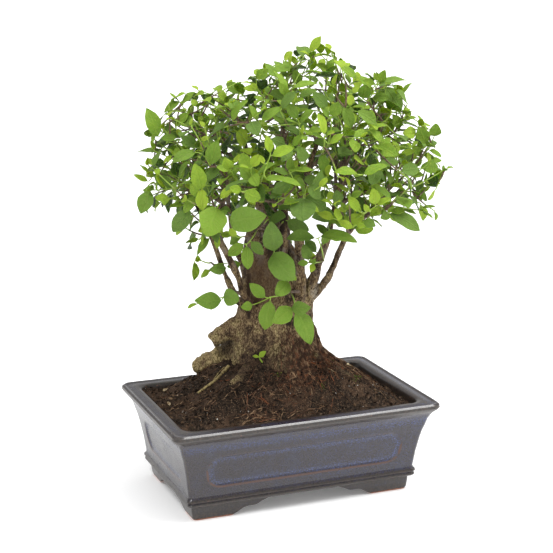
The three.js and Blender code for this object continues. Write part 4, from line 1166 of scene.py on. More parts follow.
def draw(first, second):
    """A repeatable draw from 0 to 1 for a pair of numbers."""
    value = math.sin(first * 12.9898 + second * 78.233) * 43758.5453
    return value - math.floor(value)


def on_tree(points):
    """Several points of the tree, in the pot's axes."""
    return np.array([tree_point(*point) for point in points])


print("roots:", len(ROOTS), "limbs:", len(LIMBS))

# %% The stump, ring by ring
RINGS_A_LEVEL = 7
FINE_SIDES = 84
BURLS = np.array([
    [draw(side, level) - 0.5 for side in range(STUMP_SIDES)] for level in range(len(STUMP_RINGS))
])


def stump_ring(level):
    """The stump's outline at a level, where whole levels are the readings."""
    cx, cy, z, rx, ry = [np.interp(level, range(len(STUMP_RINGS)), column) for column in zip(*STUMP_RINGS)]
    angles = math.tau * np.arange(FINE_SIDES) / FINE_SIDES
    sides = np.arange(STUMP_SIDES + 1)
    lower = BURLS[int(level)]
    upper = BURLS[min(int(level) + 1, len(BURLS) - 1)]
    row = lower + (upper - lower) * (level - int(level))
    burl = np.interp(angles / math.tau * STUMP_SIDES, sides, [*row, row[0]])
    flare = 0.09 * max(0, 1 - level / 4) * np.sin(5 * angles + 0.8)
    swell = 1 + flare + 0.05 * np.sin(3 * angles + 0.7 * level) + 0.05 * burl
    slant = STUMP_SLANT * max(0, level - len(STUMP_RINGS) + 2)
    return on_tree(
        zip(cx + rx * swell * np.cos(angles), cy + ry * swell * np.sin(angles), z + slant * np.cos(angles))
    )


def stump_core():
    """A filled circle, extruded once for each ring and drawn to the ring's outline."""
    levels = np.linspace(0, len(STUMP_RINGS) - 1, (len(STUMP_RINGS) - 1) * RINGS_A_LEVEL + 1)
    first = stump_ring(0)
    bpy.ops.object.select_all(action="DESELECT")
    bpy.ops.mesh.primitive_circle_add(
        vertices=FINE_SIDES, radius=STUMP_RINGS[0][3] * MM, fill_type="NGON", location=metres(first.mean(0))
    )
    core = settled(newest("stump_core"))
    bpy.ops.object.mode_set(mode="EDIT")
    bpy.ops.mesh.select_all(action="SELECT")
    outlines = [first]
    for level in levels[1:]:
        outlines.append(stump_ring(level))
        rise = (outlines[-1].mean(0) - outlines[-2].mean(0)) * MM
        bpy.ops.mesh.extrude_region_move(TRANSFORM_OT_translate={"value": rise})
    bpy.ops.object.mode_set(mode="OBJECT")
    fit_rings(core, np.array(outlines))
    return core


def fit_rings(core, outlines):
    """Moves each vertex to its own point of its own ring, which it knows by its height and its angle."""
    points = places(core)
    heights = outlines.mean(1)[:, 2]
    rings = np.abs(points[:, 2, None] - heights).argmin(1)
    off = points[:, :2] - outlines.mean(1)[rings, :2]
    angles = np.arctan2(off[:, 1], off[:, 0])
    order = np.empty(len(points), int)
    for ring in range(len(outlines)):
        members = np.flatnonzero(rings == ring)
        order[members[np.argsort(angles[members])]] = np.arange(len(members))
    first = np.arctan2(*(outlines - outlines.mean(1)[:, None])[:, :, 1::-1].transpose(2, 0, 1))
    put_places(core, np.array([outlines[r, np.argsort(first[r])[k]] for r, k in zip(rings, order)]))


core = stump_core()
print("stump core:", triangles_in(core), "triangles")

# %% Roots and limbs, melted into the stump
# The rows, their steps a span, their sides, and the number from which their knots are drawn
WOOD_ROWS = [(ROOTS, 5, 14, 0), (LIMBS, 4, 12, 7)]
VOXEL = 1.05


def knotted(path, start_radius, end_radius, number):
    """The radii along a limb, with slight swellings at its old knots."""
    share = np.linspace(0, 1, len(path))
    plain = start_radius + (end_radius - start_radius) * share
    return plain * (1 + 0.09 * np.sin(9 * share + number) + 0.05 * np.sin(23 * share + 2 * number))


def limb_part(path, radii, sides):
    """A closed limb with its own radius at every point."""
    faces = strand(path, 1, 1, sides)[1]
    return rings_along(path, radii, sides).reshape(-1, 3), faces


def fused_wood():
    """Stump, roots and limbs in one closed skin."""
    parts = []
    for rows, fineness, sides, first in WOOD_ROWS:
        for number, (points, start, end) in enumerate(rows, first):
            path = curve_through(on_tree(points), fineness)
            parts.append(limb_part(path, knotted(path, start, end, number), sides))
    wood = gathered("old_wood", parts)
    bpy.ops.object.select_all(action="DESELECT")
    core.select_set(True)
    wood.select_set(True)
    bpy.context.view_layer.objects.active = wood
    bpy.ops.object.join()
    with_modifier(wood, "REMESH", mode="VOXEL", voxel_size=VOXEL * MM)
    with_modifier(wood, "SMOOTH", factor=0.5, iterations=2)
    return wood


wood = fused_wood()
print("wood after the remesh:", triangles_in(wood), "triangles")

# %% Raise the bark
BARK_THINS = (150, 240)
OFF_STUMP = (10, 32)
STUB_REACH = 75
THIN_BARK = 0.35
THICK_BARK = 1.35
STUMP_AXIS = tree_point(-3, 15, 0)[:2]


def bark_relief(point):
    """How far the bark stands out at a point, about -1 to 1."""
    x, y, z = point
    broad = noise.fractal(Vector((x / 17, y / 17, z / 20)), 1.0, 2.0, 3)
    knobs = noise.noise(Vector((x / 5.2, y / 5.2, z / 6)))
    furrow = abs(noise.noise(Vector((x / 5.5, y / 5.5, z / 26 + 9))))
    crumb = noise.noise(Vector((x / 2.2, y / 2.2, z / 2.6)))
    above = min(1, max(0, (z - 145) / 40))
    rough = (1 - above) * knobs + above * (0.55 - 3.2 * furrow)
    return 0.9 * broad + 0.55 * rough + 0.28 * crumb


def raise_bark(wood):
    """Moves each vertex along its normal, by much on the stump and by little on thin limbs."""
    points = places(wood)
    normals = np.empty(3 * len(points))
    wood.data.vertices.foreach_get("normal", normals)
    from_axis = np.hypot(*(points[:, :2] - STUMP_AXIS).T)
    thick = 1 - smoothstep(points[:, 2], *BARK_THINS) * smoothstep(from_axis, *OFF_STUMP)
    amount = THIN_BARK + THICK_BARK * thick * (from_axis < STUB_REACH)
    relief = np.array([bark_relief(point) for point in points])
    put_places(wood, points + normals.reshape(-1, 3) * (amount * relief)[:, None])
    set_values(wood, "relief", relief)


raise_bark(wood)
print("wood lowest and highest:", places(wood).min(0).round(1), places(wood).max(0).round(1))


# %% Bark, from olive tan to nearly black
# Places on the bark: height, how it fades above and below, how far right, and how it fades aside
# The first place is painted shade: a dark reddish-brown patch for a hollow in the stump's front, which the mesh
# does not sink.
HOLLOW_SHADE = (190, (14, 34), -12, (8, 22))
SCAR = (178, (4, 12), 33, (1.5, 5))
# The last place is painted shade: the dark under the left stub's overhang.
STUB_OVERHANG_SHADE = (126, (4, 13), -47, (3, 12))


def bark_place(finish, height, fade_up, right, fade_aside):
    """1 at one place of the bark, and fading out round it."""
    beside = abs(finish.rightwards() - right).step(*fade_aside)
    return (1 - beside) * (1 - abs(finish.height() - height).step(*fade_up))


def bark_finish():
    """Mottled bark: tan knobs, grey-green lichen, dark cracks that are partly painted shade, painted shade in a
    hollow and under the left stub, and darker patches low near the soil.
    """
    finish = Finish("old_bark", Specular_IOR_Level=0.15)
    height = finish.height()
    relief = finish.attribute("relief")
    mottle = finish.noise(2.8, 6.0, rough=0.72)
    grain = finish.noise(1.1, 4.0, stretch=(1.0, 1.0, 0.45), rough=0.65)
    brown = finish.mix(grain.step(0.38, 0.62), (0.050, 0.030, 0.017), (0.235, 0.160, 0.085))
    olive = finish.mix(grain.step(0.42, 0.6), (0.090, 0.068, 0.028), (0.400, 0.310, 0.150))
    on_stub = (1 - finish.rightwards().step(-52, -36)) * (1 - height.step(125, 150))
    lichen = (mottle + relief * 0.22 + on_stub * 0.22).step(0.46, 0.66) * (1 - height.step(165, 215) * 0.75)
    mixed = finish.mix(lichen, brown, olive)
    weathering = finish.noise(9, 3.0).step(0.45, 0.65) * height.step(150, 230)
    grey = finish.mix(weathering, mixed, (0.165, 0.135, 0.108))
    # Darker where the bark is sunk: partly the fissures' own colour and partly painted shade in them.
    cracks_and_shade = (relief + on_stub * 0.7 + (finish.noise(1.3, 4.0, rough=0.7) - 0.5) * 2.2).step(-0.75, -0.05)
    bare = finish.mix(cracks_and_shade, (0.024, 0.015, 0.010), grey)
    hollow = bark_place(finish, *HOLLOW_SHADE)
    scar = bark_place(finish, *SCAR) * mottle.step(0.40, 0.58)
    weathered = finish.mix(scar * 0.7, bare, (0.40, 0.35, 0.27))
    # Painted shade of the hollow in front.
    dark = finish.mix(hollow * 0.7, weathered, (0.075, 0.042, 0.022))
    # Darker low down on the stump's right side, near the soil.
    at_foot = (1 - (height + (mottle - 0.5) * 70).step(112, 154)) * 0.85
    low_dark = at_foot * finish.rightwards().step(-44, -30)
    # Painted shade under the left stub's overhang, in the same dark brown as low down on the stump.
    shade_under_stub = bark_place(finish, *STUB_OVERHANG_SHADE) * 0.85
    low_dark_and_shade = finish.mix(grain.step(0.38, 0.64), (0.008, 0.005, 0.004), (0.062, 0.038, 0.023))
    finish.set("Base Color", finish.mix(low_dark.largest(shade_under_stub), dark, low_dark_and_shade))
    finish.set("Roughness", 0.88 - 0.12 * grain)
    finish.bump(grain * 0.6 + finish.noise(0.7, 3.0) * 0.4, 0.7)
    return finish.material


bark = bark_finish()
wood.data.materials.clear()
wood.data.materials.append(bark)
smooth(wood, 60)
grown_with(wood, "bark", "trunk")

# %% [markdown]
# Thin roots on the stump's foot
# Watering has washed the stump's right foot bare, and a fringe of thin roots runs down it into the soil. Each
# is drawn from above to below by feeling for the bark: a ray from outside towards the stump's axis stops on
# the bark, and where that is under the ground the root goes on over the soil. On the left, a thicker olive
# root lies on the soil, and two thin ones hang from the stub.

# %% Feel for the bark, and run thin roots down it
FLANK_SEED = 21
FLANK_COUNT = 210
FLANK_ANGLES = (-72, 24)
FLANK_HEIGHTS = (108, 152)
FLANK_STEP = 2.6
FLANK_SPANS = 18
FLANK_FAR = 110
FLANK_JUMP = 7
FLANK_ON_SOIL = (2, 9)
flank_draws = np.random.default_rng(FLANK_SEED)
skin = BVHTree.FromPolygons(places(wood).tolist(), [list(face.vertices) for face in wood.data.polygons])


def on_bark(angle, height):
    """The spot on the bark at an angle round the stump, a little off it, or None."""
    outward = tree_point(math.cos(angle), math.sin(angle), 0)
    start = np.array([*STUMP_AXIS, height]) + outward * FLANK_FAR
    spot = skin.ray_cast(Vector(start), Vector(-outward))[0]
    return None if spot is None else np.array(spot) + outward * 0.3


def down_the_bark(angle, height):
    """A path down the bark until it meets the ground."""
    path = []
    drift = flank_draws.normal() * 0.03
    for _ in range(FLANK_SPANS):
        spot = on_bark(angle, height)
        if spot is None or spot[2] < ground(*spot[:2]) + 0.3:
            break
        if path and np.linalg.norm(spot - path[-1]) > FLANK_JUMP:
            break
        path.append(spot)
        angle += drift + flank_draws.normal() * 0.035
        height -= FLANK_STEP
    return path


def flank_root():
    """One thin root: down the bark, then a little way over the soil."""
    angle = math.radians(flank_draws.uniform(*FLANK_ANGLES))
    path = down_the_bark(angle, flank_draws.uniform(*FLANK_HEIGHTS))
    steps = flank_draws.integers(*FLANK_ON_SOIL)
    heading = angle + TREE_TURN + flank_draws.normal() * 0.35
    if not path:
        return None
    x, y = path[-1][:2]
    for _ in range(steps):
        x += math.cos(heading) * FLANK_STEP
        y += math.sin(heading) * FLANK_STEP
        heading += flank_draws.normal() * 0.3
        if abs(path[-1][2] - ground(x, y)) > FLANK_JUMP:
            break
        path.append((x, y, ground(x, y) + 0.35))
    return path if len(path) > 2 and inside_rim(path) else None


def flank_roots():
    """The whole fringe."""
    paths = [path for path in (flank_root() for _ in range(FLANK_COUNT)) if path]
    thick = flank_draws.uniform(0.22, 0.62, len(paths)) ** 1.3
    rust = flank_draws.uniform(0.15, 1.0, len(paths))
    return gathered("flank_roots", [strand(p, t, 0.5 * t, 4) for p, t in zip(paths, thick)], rust=rust)


fringe = flank_roots()
fringe.data.materials.append(bpy.data.materials["fine_roots"])
grown_with(fringe, "bark")
print("thin roots on the stump:", triangles_in(fringe), "triangles")

# %% The olive root and the hanging ones
SURFACE_ROOT = [(-43, 11), (-50, 6), (-58, 2), (-66, 2), (-75, 3)]
STRAW = [(-46, 14), (-52, 11), (-58, 8)]
# Radius at each end, and sides
SURFACE_ROOT_SIZE = (1.8, 1.1, 9)
STRAW_SIZE = (0.5, 0.4, 5)
HANGING_ROOTS = [
    ([(-57, 4, 131), (-54, 8, 121), (-55, 18, 111)], 0.9),
    ([(-53, 5, 130), (-51, 7, 124), (-52, 12, 116)], 0.5),
]


def root_skin():
    """Olive tan skin with dark rings, as on roots that have come to light."""
    finish = Finish("root_skin", Specular_IOR_Level=0.2)
    patches = finish.noise(2.6, 5.0, rough=0.65)
    plain = finish.mix(patches.step(0.36, 0.62), (0.085, 0.060, 0.026), (0.340, 0.265, 0.115))
    finish.set("Base Color", plain)
    finish.set("Roughness", 0.75 + 0.1 * patches)
    finish.bump(finish.noise(1.0, 3.0), 0.4)
    return finish.material


def bare_roots():
    """Roots in the open: one thick on the soil with a straw beside it, and two that hang."""
    on_soil = curve_through([(x, y, ground(x, y) + 0.7) for x, y in SURFACE_ROOT], 6)
    straw = curve_through([(x, y, ground(x, y) + 1.6) for x, y in STRAW], 4)
    parts = [strand(on_soil, *SURFACE_ROOT_SIZE), strand(straw, *STRAW_SIZE)]
    for points, radius in HANGING_ROOTS:
        parts.append(strand(curve_through(on_tree(points), 6), radius, 0.8 * radius, 7))
    return gathered("bare_roots", parts)


open_roots = bare_roots()
open_roots.data.materials.append(root_skin())
smooth(open_roots, 60)
grown_with(open_roots, "bark")

# %% [markdown]
# The crown's branches, as read from the picture
# A privet shoot bears its leaves in opposite pairs, but in this crown every leaf that faces the camera was
# read one by one, and the rest grow by rule. The same readings made the plain solids, so a leaf modelled
# from them lands where its solid is. They are listed here because this notebook may read nothing else.

# %% The readings
# A branch is its shoots, which start at one seat on a twig. A shoot is its points, then the leaves read one
# by one, then how many more pairs it bears and their size. A leaf is base x, base z, tip x, tip z, width
# and age, from 0 for young to 2 for old.
BRANCHES = {
    "crown_tip": [
        ([(27, 0, 331), (28, -4, 364), (28, -4, 391)], [
            (28, 392, 37, 405, 8, 0.3), (28, 387, 19, 392, 2, 0.3), (29, 387, 37, 390, 2, 0.4)
        ], 2, 12),
    ],
    "top_centre": [
        ([(5, 0, 331), (7, 5, 357), (11, 5, 376)], [
            (11, 380, 12, 390, 3, 0.1), (15, 377, -7, 374, 8, 0.8), (19, 363, 14, 375, 9, 1.2)
        ], 1, 14),
        ([(5, 0, 331), (6, -30, 347), (8, -38, 361)], [
            (9, 362, -4, 379, 5, 0.5), (8, 359, 1, 368, 8, 0.8), (13, 364, 33, 368, 6, 0.7)
        ], 0, 0),
    ],
    "top_left": [
        ([(-3, 0, 335), (-10, -15, 352), (-18, -20, 362)], [
            (-17, 362, -29, 362, 6, 0), (-17, 362, -23, 367, 4, 0), (-17, 371, -8, 377, 9, 0.6)
        ], 0, 0),
        ([(-3, 0, 335), (-23, 12, 342), (-31, 14, 354)], [
            (-30, 355, -45, 363, 10, 1.2)
        ], 1, 18),
    ],
    "left_top": [
        ([(-28, 5, 324), (-38, 0, 338), (-44, 0, 348)], [
            (-44, 348, -52, 360, 7, 0.5), (-55, 339, -45, 346, 5, 1.5)
        ], 1, 15),
        ([(-28, 5, 324), (-32, -40, 333), (-35, -45, 337)], [
            (-38, 338, -25, 355, 7, 0.8), (-17, 338, -24, 351, 6, 0.9)
        ], 0, 0),
    ],
    "left_high": [
        ([(-58, 5, 306), (-71, 5, 331), (-84, 5, 346)], [
            (-85, 348, -99, 339, 7, 1), (-83, 347, -71, 357, 6, 0.9), (-86, 349, -94, 356, 2, 0.8),
            (-89, 327, -77, 339, 8, 0.8)
        ], 0, 0),
        ([(-58, 5, 306), (-62, -8, 332), (-69, -8, 346)], [], 3, 10),
    ],
    "left_upper": [
        ([(-70, 5, 288), (-89, 0, 314), (-101, -5, 328)], [
            (-104, 319, -113, 344, 13, 0.5), (-88, 318, -101, 318, 7, 1.3)
        ], 1, 10),
        ([(-70, 5, 288), (-95, 12, 302), (-112, 12, 318)], [
            (-111, 319, -117, 319, 3, 0.2), (-99, 303, -124, 304, 4, 0.9)
        ], 1, 12),
    ],
    "left_inner": [
        ([(-46, -15, 293), (-58, -30, 307), (-68, -32, 314)], [
            (-69, 315, -81, 322, 10, 2), (-65, 319, -57, 322, 4, 0)
        ], 1, 18),
        ([(-46, -15, 293), (-52, -48, 298), (-57, -52, 300)], [
            (-56, 302, -50, 322, 13, 0.9), (-69, 312, -88, 304, 10, 1.2)
        ], 0, 0),
    ],
    "left_mid": [
        ([(-72, 5, 272), (-93, 0, 279), (-111, 0, 284)], [
            (-114, 279, -126, 285, 5, 0.1), (-112, 286, -121, 294, 2, 0.4), (-92, 273, -108, 286, 11, 1.8)
        ], 1, 14),
        ([(-72, 5, 272), (-94, -10, 273), (-109, -10, 273)], [
            (-111, 272, -119, 252, 14, 1.2)
        ], 2, 16),
    ],
    "left_front": [
        ([(-43, -20, 273), (-55, -52, 285), (-63, -60, 284)], [
            (-63, 282, -69, 304, 13, 0.3), (-63, 282, -63, 264, 11, 0.2), (-67, 276, -72, 288, 8, 0.8)
        ], 0, 0),
        ([(-43, -20, 273), (-58, -30, 264), (-72, -36, 264)], [
            (-75, 260, -90, 241, 15, 1.6), (-69, 272, -80, 258, 9, 1)
        ], 0, 0),
    ],
    "left_low": [
        ([(-54, -36, 250), (-50, -62, 266), (-49, -70, 271)], [
            (-50, 268, -58, 244, 23, 0.6)
        ], 0, 0),
        ([(-54, -36, 250), (-62, -30, 240), (-68, -20, 231)], [
            (-59, 232, -70, 217, 7, 1)
        ], 2, 12),
    ],
    "front_left": [
        ([(-14, -25, 242), (-28, -68, 249), (-38, -78, 257)], [
            (-39, 258, -9, 262, 22, 0.6)
        ], 0, 0),
        ([(-14, -25, 242), (-20, -58, 240), (-27, -58, 234)], [
            (-29, 235, -42, 225, 10, 1), (-26, 233, -25, 213, 11, 1), (-22, 237, -12, 226, 9, 1.6)
        ], 0, 0),
    ],
    "front_high_left": [
        ([(-17, -20, 266), (-8, -72, 290), (-29, -86, 284)], [
            (-30, 285, -39, 288, 7, 0.2), (-28, 284, -14, 278, 11, 0.5), (-9, 295, 20, 289, 7, 0.4)
        ], 0, 0),
        ([(-17, -20, 266), (-10, -80, 300), (-6, -90, 315)], [
            (-6, 317, -9, 331, 7, 0.2), (-4, 315, 13, 321, 9, 0.2), (-11, 308, -14, 315, 4, 0.2)
        ], 0, 0),
        ([(-17, -20, 266), (-33, -60, 288), (-39, -70, 300)], [
            (-39, 301, -43, 309, 9, 0.4)
        ], 1, 12),
    ],
    "front_centre": [
        ([(19, -15, 252), (24, -52, 273), (23, -64, 282)], [
            (21, 275, 21, 255, 21, 1.8), (27, 286, 35, 274, 10, 1.8), (11, 288, -5, 280, 10, 2)
        ], 0, 0),
        ([(19, -15, 252), (17, -62, 285), (10, -74, 299)], [
            (9, 300, 30, 300, 5, 0.6), (23, 308, 16, 319, 10, 1.5)
        ], 1, 16),
    ],
    "front_high": [
        ([(12, -15, 287), (12, -50, 307), (10, -56, 318)], [
            (6, 319, -5, 323, 9, 2)
        ], 2, 16),
        ([(12, -15, 287), (20, -46, 322), (18, -50, 337)], [
            (16, 340, 8, 353, 9, 1.3), (-13, 338, 3, 349, 8, 1)
        ], 1, 16),
    ],
    "front_high_right": [
        ([(35, -15, 300), (47, -48, 325), (44, -52, 341)], [
            (45, 341, 50, 353, 10, 0.9), (42, 341, 31, 354, 6, 0.9), (41, 350, 29, 362, 10, 2)
        ], 0, 0),
        ([(35, -15, 300), (39, -66, 316), (38, -72, 328)], [
            (38, 330, 33, 347, 7, 0.1), (43, 322, 54, 330, 6, 0.5)
        ], 1, 12),
    ],
    "top_right": [
        ([(38, 0, 326), (42, 8, 353), (43, 8, 374)], [
            (43, 375, 49, 385, 7, 0.8), (43, 377, 33, 380, 6, 0.8)
        ], 2, 14),
        ([(38, 0, 326), (56, 22, 350), (65, 24, 363)], [
            (69, 367, 54, 378, 8, 0.7)
        ], 2, 14),
    ],
    "right_top": [
        ([(59, 0, 317), (78, 0, 348), (87, 0, 364)], [
            (84, 364, 73, 367, 6, 0.7), (85, 367, 83, 374, 4, 0.8), (88, 365, 92, 375, 8, 0.5),
            (88, 364, 112, 367, 5, 1), (74, 352, 76, 362, 12, 1)
        ], 0, 0),
        ([(59, 0, 317), (85, 22, 337), (97, 24, 351)], [
            (95, 359, 109, 335, 13, 0.9), (110, 351, 119, 363, 3, 0.8), (84, 351, 98, 349, 9, 1.1)
        ], 0, 0),
    ],
    "right_upper": [
        ([(64, -5, 306), (61, -30, 333), (57, -34, 347)], [
            (56, 348, 63, 330, 10, 1.2), (67, 344, 84, 333, 10, 1.2)
        ], 1, 14),
        ([(64, -5, 306), (92, 16, 313), (107, 18, 322)], [
            (108, 324, 101, 335, 9, 0.8), (112, 330, 122, 333, 4, 0.7)
        ], 2, 12),
    ],
    "right_front_high": [
        ([(63, -10, 289), (74, -38, 307), (86, -44, 315)], [
            (86, 316, 99, 307, 12, 0.7), (87, 319, 76, 330, 6, 0.8)
        ], 1, 16),
        ([(63, -10, 289), (61, -66, 291), (69, -76, 297)], [
            (68, 297, 45, 299, 7, 0.3), (71, 297, 90, 305, 7, 0.5)
        ], 0, 0),
    ],
    "right_mid": [
        ([(95, 5, 271), (105, 2, 287), (106, 0, 302)], [
            (106, 302, 120, 306, 6, 0.2), (106, 307, 112, 312, 5, 0.8), (105, 279, 102, 290, 5, 0.8)
        ], 1, 12),
    ],
    "right_tip": [
        ([(109, 9, 280), (124, 14, 287), (131, 16, 304), (138, 16, 316)], [
            (121, 320, 109, 319, 11, 0.3), (132, 308, 123, 324, 13, 0.6), (138, 317, 138, 327, 11, 1),
            (127, 300, 118, 307, 8, 1), (133, 305, 145, 298, 5, 0.8), (127, 297, 121, 290, 6, 1)
        ], 0, 0),
    ],
    "right_far": [
        ([(104, -2, 267), (134, 4, 280), (147, 2, 290)], [
            (137, 285, 134, 296, 9, 0.8), (148, 290, 154, 291, 2, 0.4), (115, 284, 129, 284, 6, 0.9)
        ], 2, 8),
        ([(104, -2, 267), (119, 16, 269), (127, 18, 266)], [
            (128, 277, 123, 267, 8, 2), (127, 268, 135, 270, 5, 0.6), (126, 268, 133, 258, 6, 1.2),
            (120, 267, 129, 259, 6, 0.8)
        ], 0, 0),
    ],
    "right_low": [
        ([(92, -8, 257), (112, 8, 254), (129, 10, 251)], [
            (129, 254, 140, 255, 3, 1), (128, 250, 138, 245, 3, 0.8), (107, 253, 124, 248, 4, 0.9)
        ], 2, 9),
        ([(92, -8, 257), (90, -24, 257), (96, -26, 256)], [
            (97, 255, 123, 240, 13, 1)
        ], 1, 16),
    ],
    "right_front": [
        ([(60, -10, 241), (71, -50, 258), (83, -58, 268)], [
            (82, 268, 79, 282, 10, 0.1), (83, 268, 95, 274, 5, 0.3), (68, 263, 59, 276, 8, 0.2),
            (76, 263, 72, 269, 5, 0.2)
        ], 0, 0),
        ([(60, -10, 241), (58, -46, 247), (66, -52, 250)], [
            (47, 256, 33, 261, 7, 0.1), (63, 248, 51, 254, 7, 0), (67, 250, 74, 249, 5, 0.1),
            (73, 254, 82, 249, 8, 1.6)
        ], 0, 0),
    ],
    "right_front_low": [
        ([(39, -10, 209), (38, -42, 230), (34, -46, 238)], [
            (37, 239, 68, 234, 10, 0.5), (31, 238, 7, 237, 10, 1.2)
        ], 0, 0),
        ([(39, -10, 209), (31, -40, 214), (27, -44, 216)], [
            (27, 217, 22, 232, 9, 1.7)
        ], 2, 10),
    ],
    "centre_low": [
        ([(4, -28, 208), (0, -50, 223), (-3, -56, 228)], [
            (-3, 229, -6, 254, 17, 1.3), (-4, 226, 13, 203, 22, 0.9)
        ], 0, 0),
        ([(4, -28, 208), (12, -48, 205), (10, -52, 202)], [
            (10, 202, -1, 189, 13, 1.2)
        ], 0, 0),
    ],
    "low_front": [
        ([(12, -32, 187), (4, -50, 188), (-7, -54, 188)], [
            (-11, 188, -24, 200, 10, 1.1), (-6, 187, -11, 159, 15, 0.9), (-22, 181, -31, 179, 8, 1.2)
        ], 0, 0),
        ([(12, -32, 187), (16, -46, 184), (14, -50, 177)], [
            (12, 177, -4, 165, 15, 0.9), (12, 177, 28, 178, 12, 1.3), (16, 175, 29, 145, 16, 0.6)
        ], 0, 0),
    ],
    "low_left": [
        ([(-38, -28, 187), (-42, -34, 188), (-48, -38, 183)], [
            (-49, 181, -71, 181, 15, 1), (-48, 184, -33, 184, 15, 1.4), (-70, 178, -78, 174, 3, 0.3)
        ], 0, 0),
    ],
    "low_left_high": [
        ([(-55, -19, 208), (-60, -20, 209), (-68, -20, 213)], [
            (-73, 211, -73, 194, 6, 0.3), (-45, 206, -59, 205, 10, 1.4), (-33, 209, -44, 206, 8, 1)
        ], 1, 9),
    ],
}
ALSO_BEHIND = [
    "left_inner", "left_front", "left_low", "front_left", "front_high_left", "front_centre", "right_upper",
    "right_front_high", "right_front", "centre_low",
]
# Plain leafy branches that fill the back: seat, then the tips of the shoots
FILLERS = {
    "back_left": ((-62, 48, 258), [(-92, 74, 268), (-84, 62, 292), (-70, 92, 256)]),
    "back_left_high": ((-40, 52, 300), [(-66, 72, 320), (-40, 88, 318), (-48, 56, 340)]),
    "back_crown": ((4, 46, 322), [(-12, 66, 350), (14, 74, 346), (8, 44, 368)]),
    "back_right_high": ((52, 44, 306), [(74, 68, 326), (54, 84, 318), (62, 50, 346)]),
    "back_right": ((74, 46, 258), [(106, 68, 268), (96, 54, 290), (80, 92, 254)]),
    "back_middle": ((6, 62, 270), [(-8, 98, 280), (26, 104, 286), (6, 88, 304)]),
}
print("branches:", len(BRANCHES) + len(ALSO_BEHIND) + len(FILLERS))

# %% Each branch in its own place, the back ones turned over through the tree
BACK_MIRROR = 30
EYE_FRONT = tree_point(0, -0.974, 0.227)
EYE_BACK = tree_point(0, 0.974, 0.227)
FIRST_BEHIND = 60
FIRST_FILLER = 90
FILLER_LIFT = 4
FILLER_PAIRS = 2
FILLER_LEAF = 20


def branch_in_front(name, shoots, order):
    """A branch where it was read."""
    return {"name": name, "shoots": shoots, "put": tree_point, "eye": EYE_FRONT, "order": order}


def branch_behind(name, shoots, order):
    """The likeness of a front branch on the far side of the tree, moved a little."""
    dx, dy, dz = 16 * (draw(order, 1) - 0.5), 10 * (draw(order, 2) - 0.5), 12 * (draw(order, 3) - 0.5)

    def put(x, y, z):
        return tree_point(x + dx, BACK_MIRROR - (y - dy), z + dz)

    return {"name": "behind_" + name, "shoots": shoots, "put": put, "eye": EYE_BACK, "order": order}


def filling_branch(name, seat, tips, order):
    """A plain branch with a shoot to each tip."""
    shoots = []
    for tip in tips:
        middle = (np.array(seat) + tip) / 2 + (0, 0, FILLER_LIFT)
        shoots.append(([seat, tuple(middle), tip], [], FILLER_PAIRS, FILLER_LEAF))
    return branch_in_front(name, shoots, order)


behind_names = [name for name in BRANCHES if name in ALSO_BEHIND]
branches = [branch_in_front(name, shoots, i) for i, (name, shoots) in enumerate(BRANCHES.items())]
branches += [branch_behind(name, BRANCHES[name], FIRST_BEHIND + i) for i, name in enumerate(behind_names)]
branches += [filling_branch(name, *row, FIRST_FILLER + i) for i, (name, row) in enumerate(FILLERS.items())]
print("first and last branch:", branches[0]["name"], branches[-1]["name"])

# %% [markdown]
# Twigs
# Every branch sits on a bare twig that forks off a limb below it. Real twigs leave a limb from below and
# bend upwards, and no fork bears many of them, so each twig takes the nearest limb point under its seat, and
# pays for a point that others have used.

# %% A twig for each branch
TWIG_CLEAR = 6
TWIG_THICKEST = 1.9
TWIG_LIFT = 0.06
FORK_PRICE = 8
FORK_SHARES = (0, 0.33, 0.67)
LAST_FORK_SHARES = (0, 0.3, 0.6, 0.9)
SHORT_TWIG = 30


def bezier(points, share):
    """A point of the curve that is drawn from the first to the last point, towards those between."""
    row = [np.asarray(point, float) for point in points]
    while len(row) > 1:
        row = [a + (b - a) * share for a, b in zip(row, row[1:])]
    return row[0]


def bent(points, spans):
    """The curve of bezier in a number of straight spans."""
    return [bezier(points, step / spans) for step in range(spans + 1)]


def limb_forks():
    """Where twigs may fork off the limbs, with the limb's radius there."""
    forks = []
    for points, start, end in LIMBS:
        path = on_tree(points)
        spans = len(path) - 1
        for span in range(spans):
            for share in LAST_FORK_SHARES if span == spans - 1 else FORK_SHARES:
                spot = path[span] + (path[span + 1] - path[span]) * share
                radius = start + (end - start) * (span + share) / spans
                forks.append({"spot": spot, "radius": radius, "used": 0})
    return forks


def find_twig(branch, forks):
    """The twig's three drawing points, its radius, and the direction that it ends in."""
    seat = branch["put"](*branch["shoots"][0][0][0])
    best, least = None, 1e9
    for fork in forks:
        apart = np.linalg.norm(fork["spot"] - seat)
        cost = apart + 2 * max(0, fork["spot"][2] - seat[2] + TWIG_CLEAR) + FORK_PRICE * fork["used"]
        if apart > TWIG_CLEAR and cost < least:
            best, least = fork, cost
    best["used"] += 1
    reach = np.linalg.norm(best["spot"] - seat)
    middle = (best["spot"] + seat) / 2 + (0, 0, TWIG_LIFT * reach)
    branch["twig"] = [best["spot"], middle, seat]
    branch["twig_radius"] = min(TWIG_THICKEST, 0.85 * best["radius"])
    branch["twig_end"] = unit(seat - (middle if reach >= SHORT_TWIG else best["spot"]))


forks = limb_forks()
for branch in branches:
    find_twig(branch, forks)
print("twigs:", len(branches), "forks used:", sum(fork["used"] > 0 for fork in forks))

# %% [markdown]
# Stems and leaves where their solids are
# Where two leaves would have met, the plain solids let one of them turn or step back a little. The packed
# solids show which choice was taken: a leaf's tip and a stem's rings are corners of the mesh. So each leaf
# and stem lists its choices in order, and takes the one whose corners are found there.

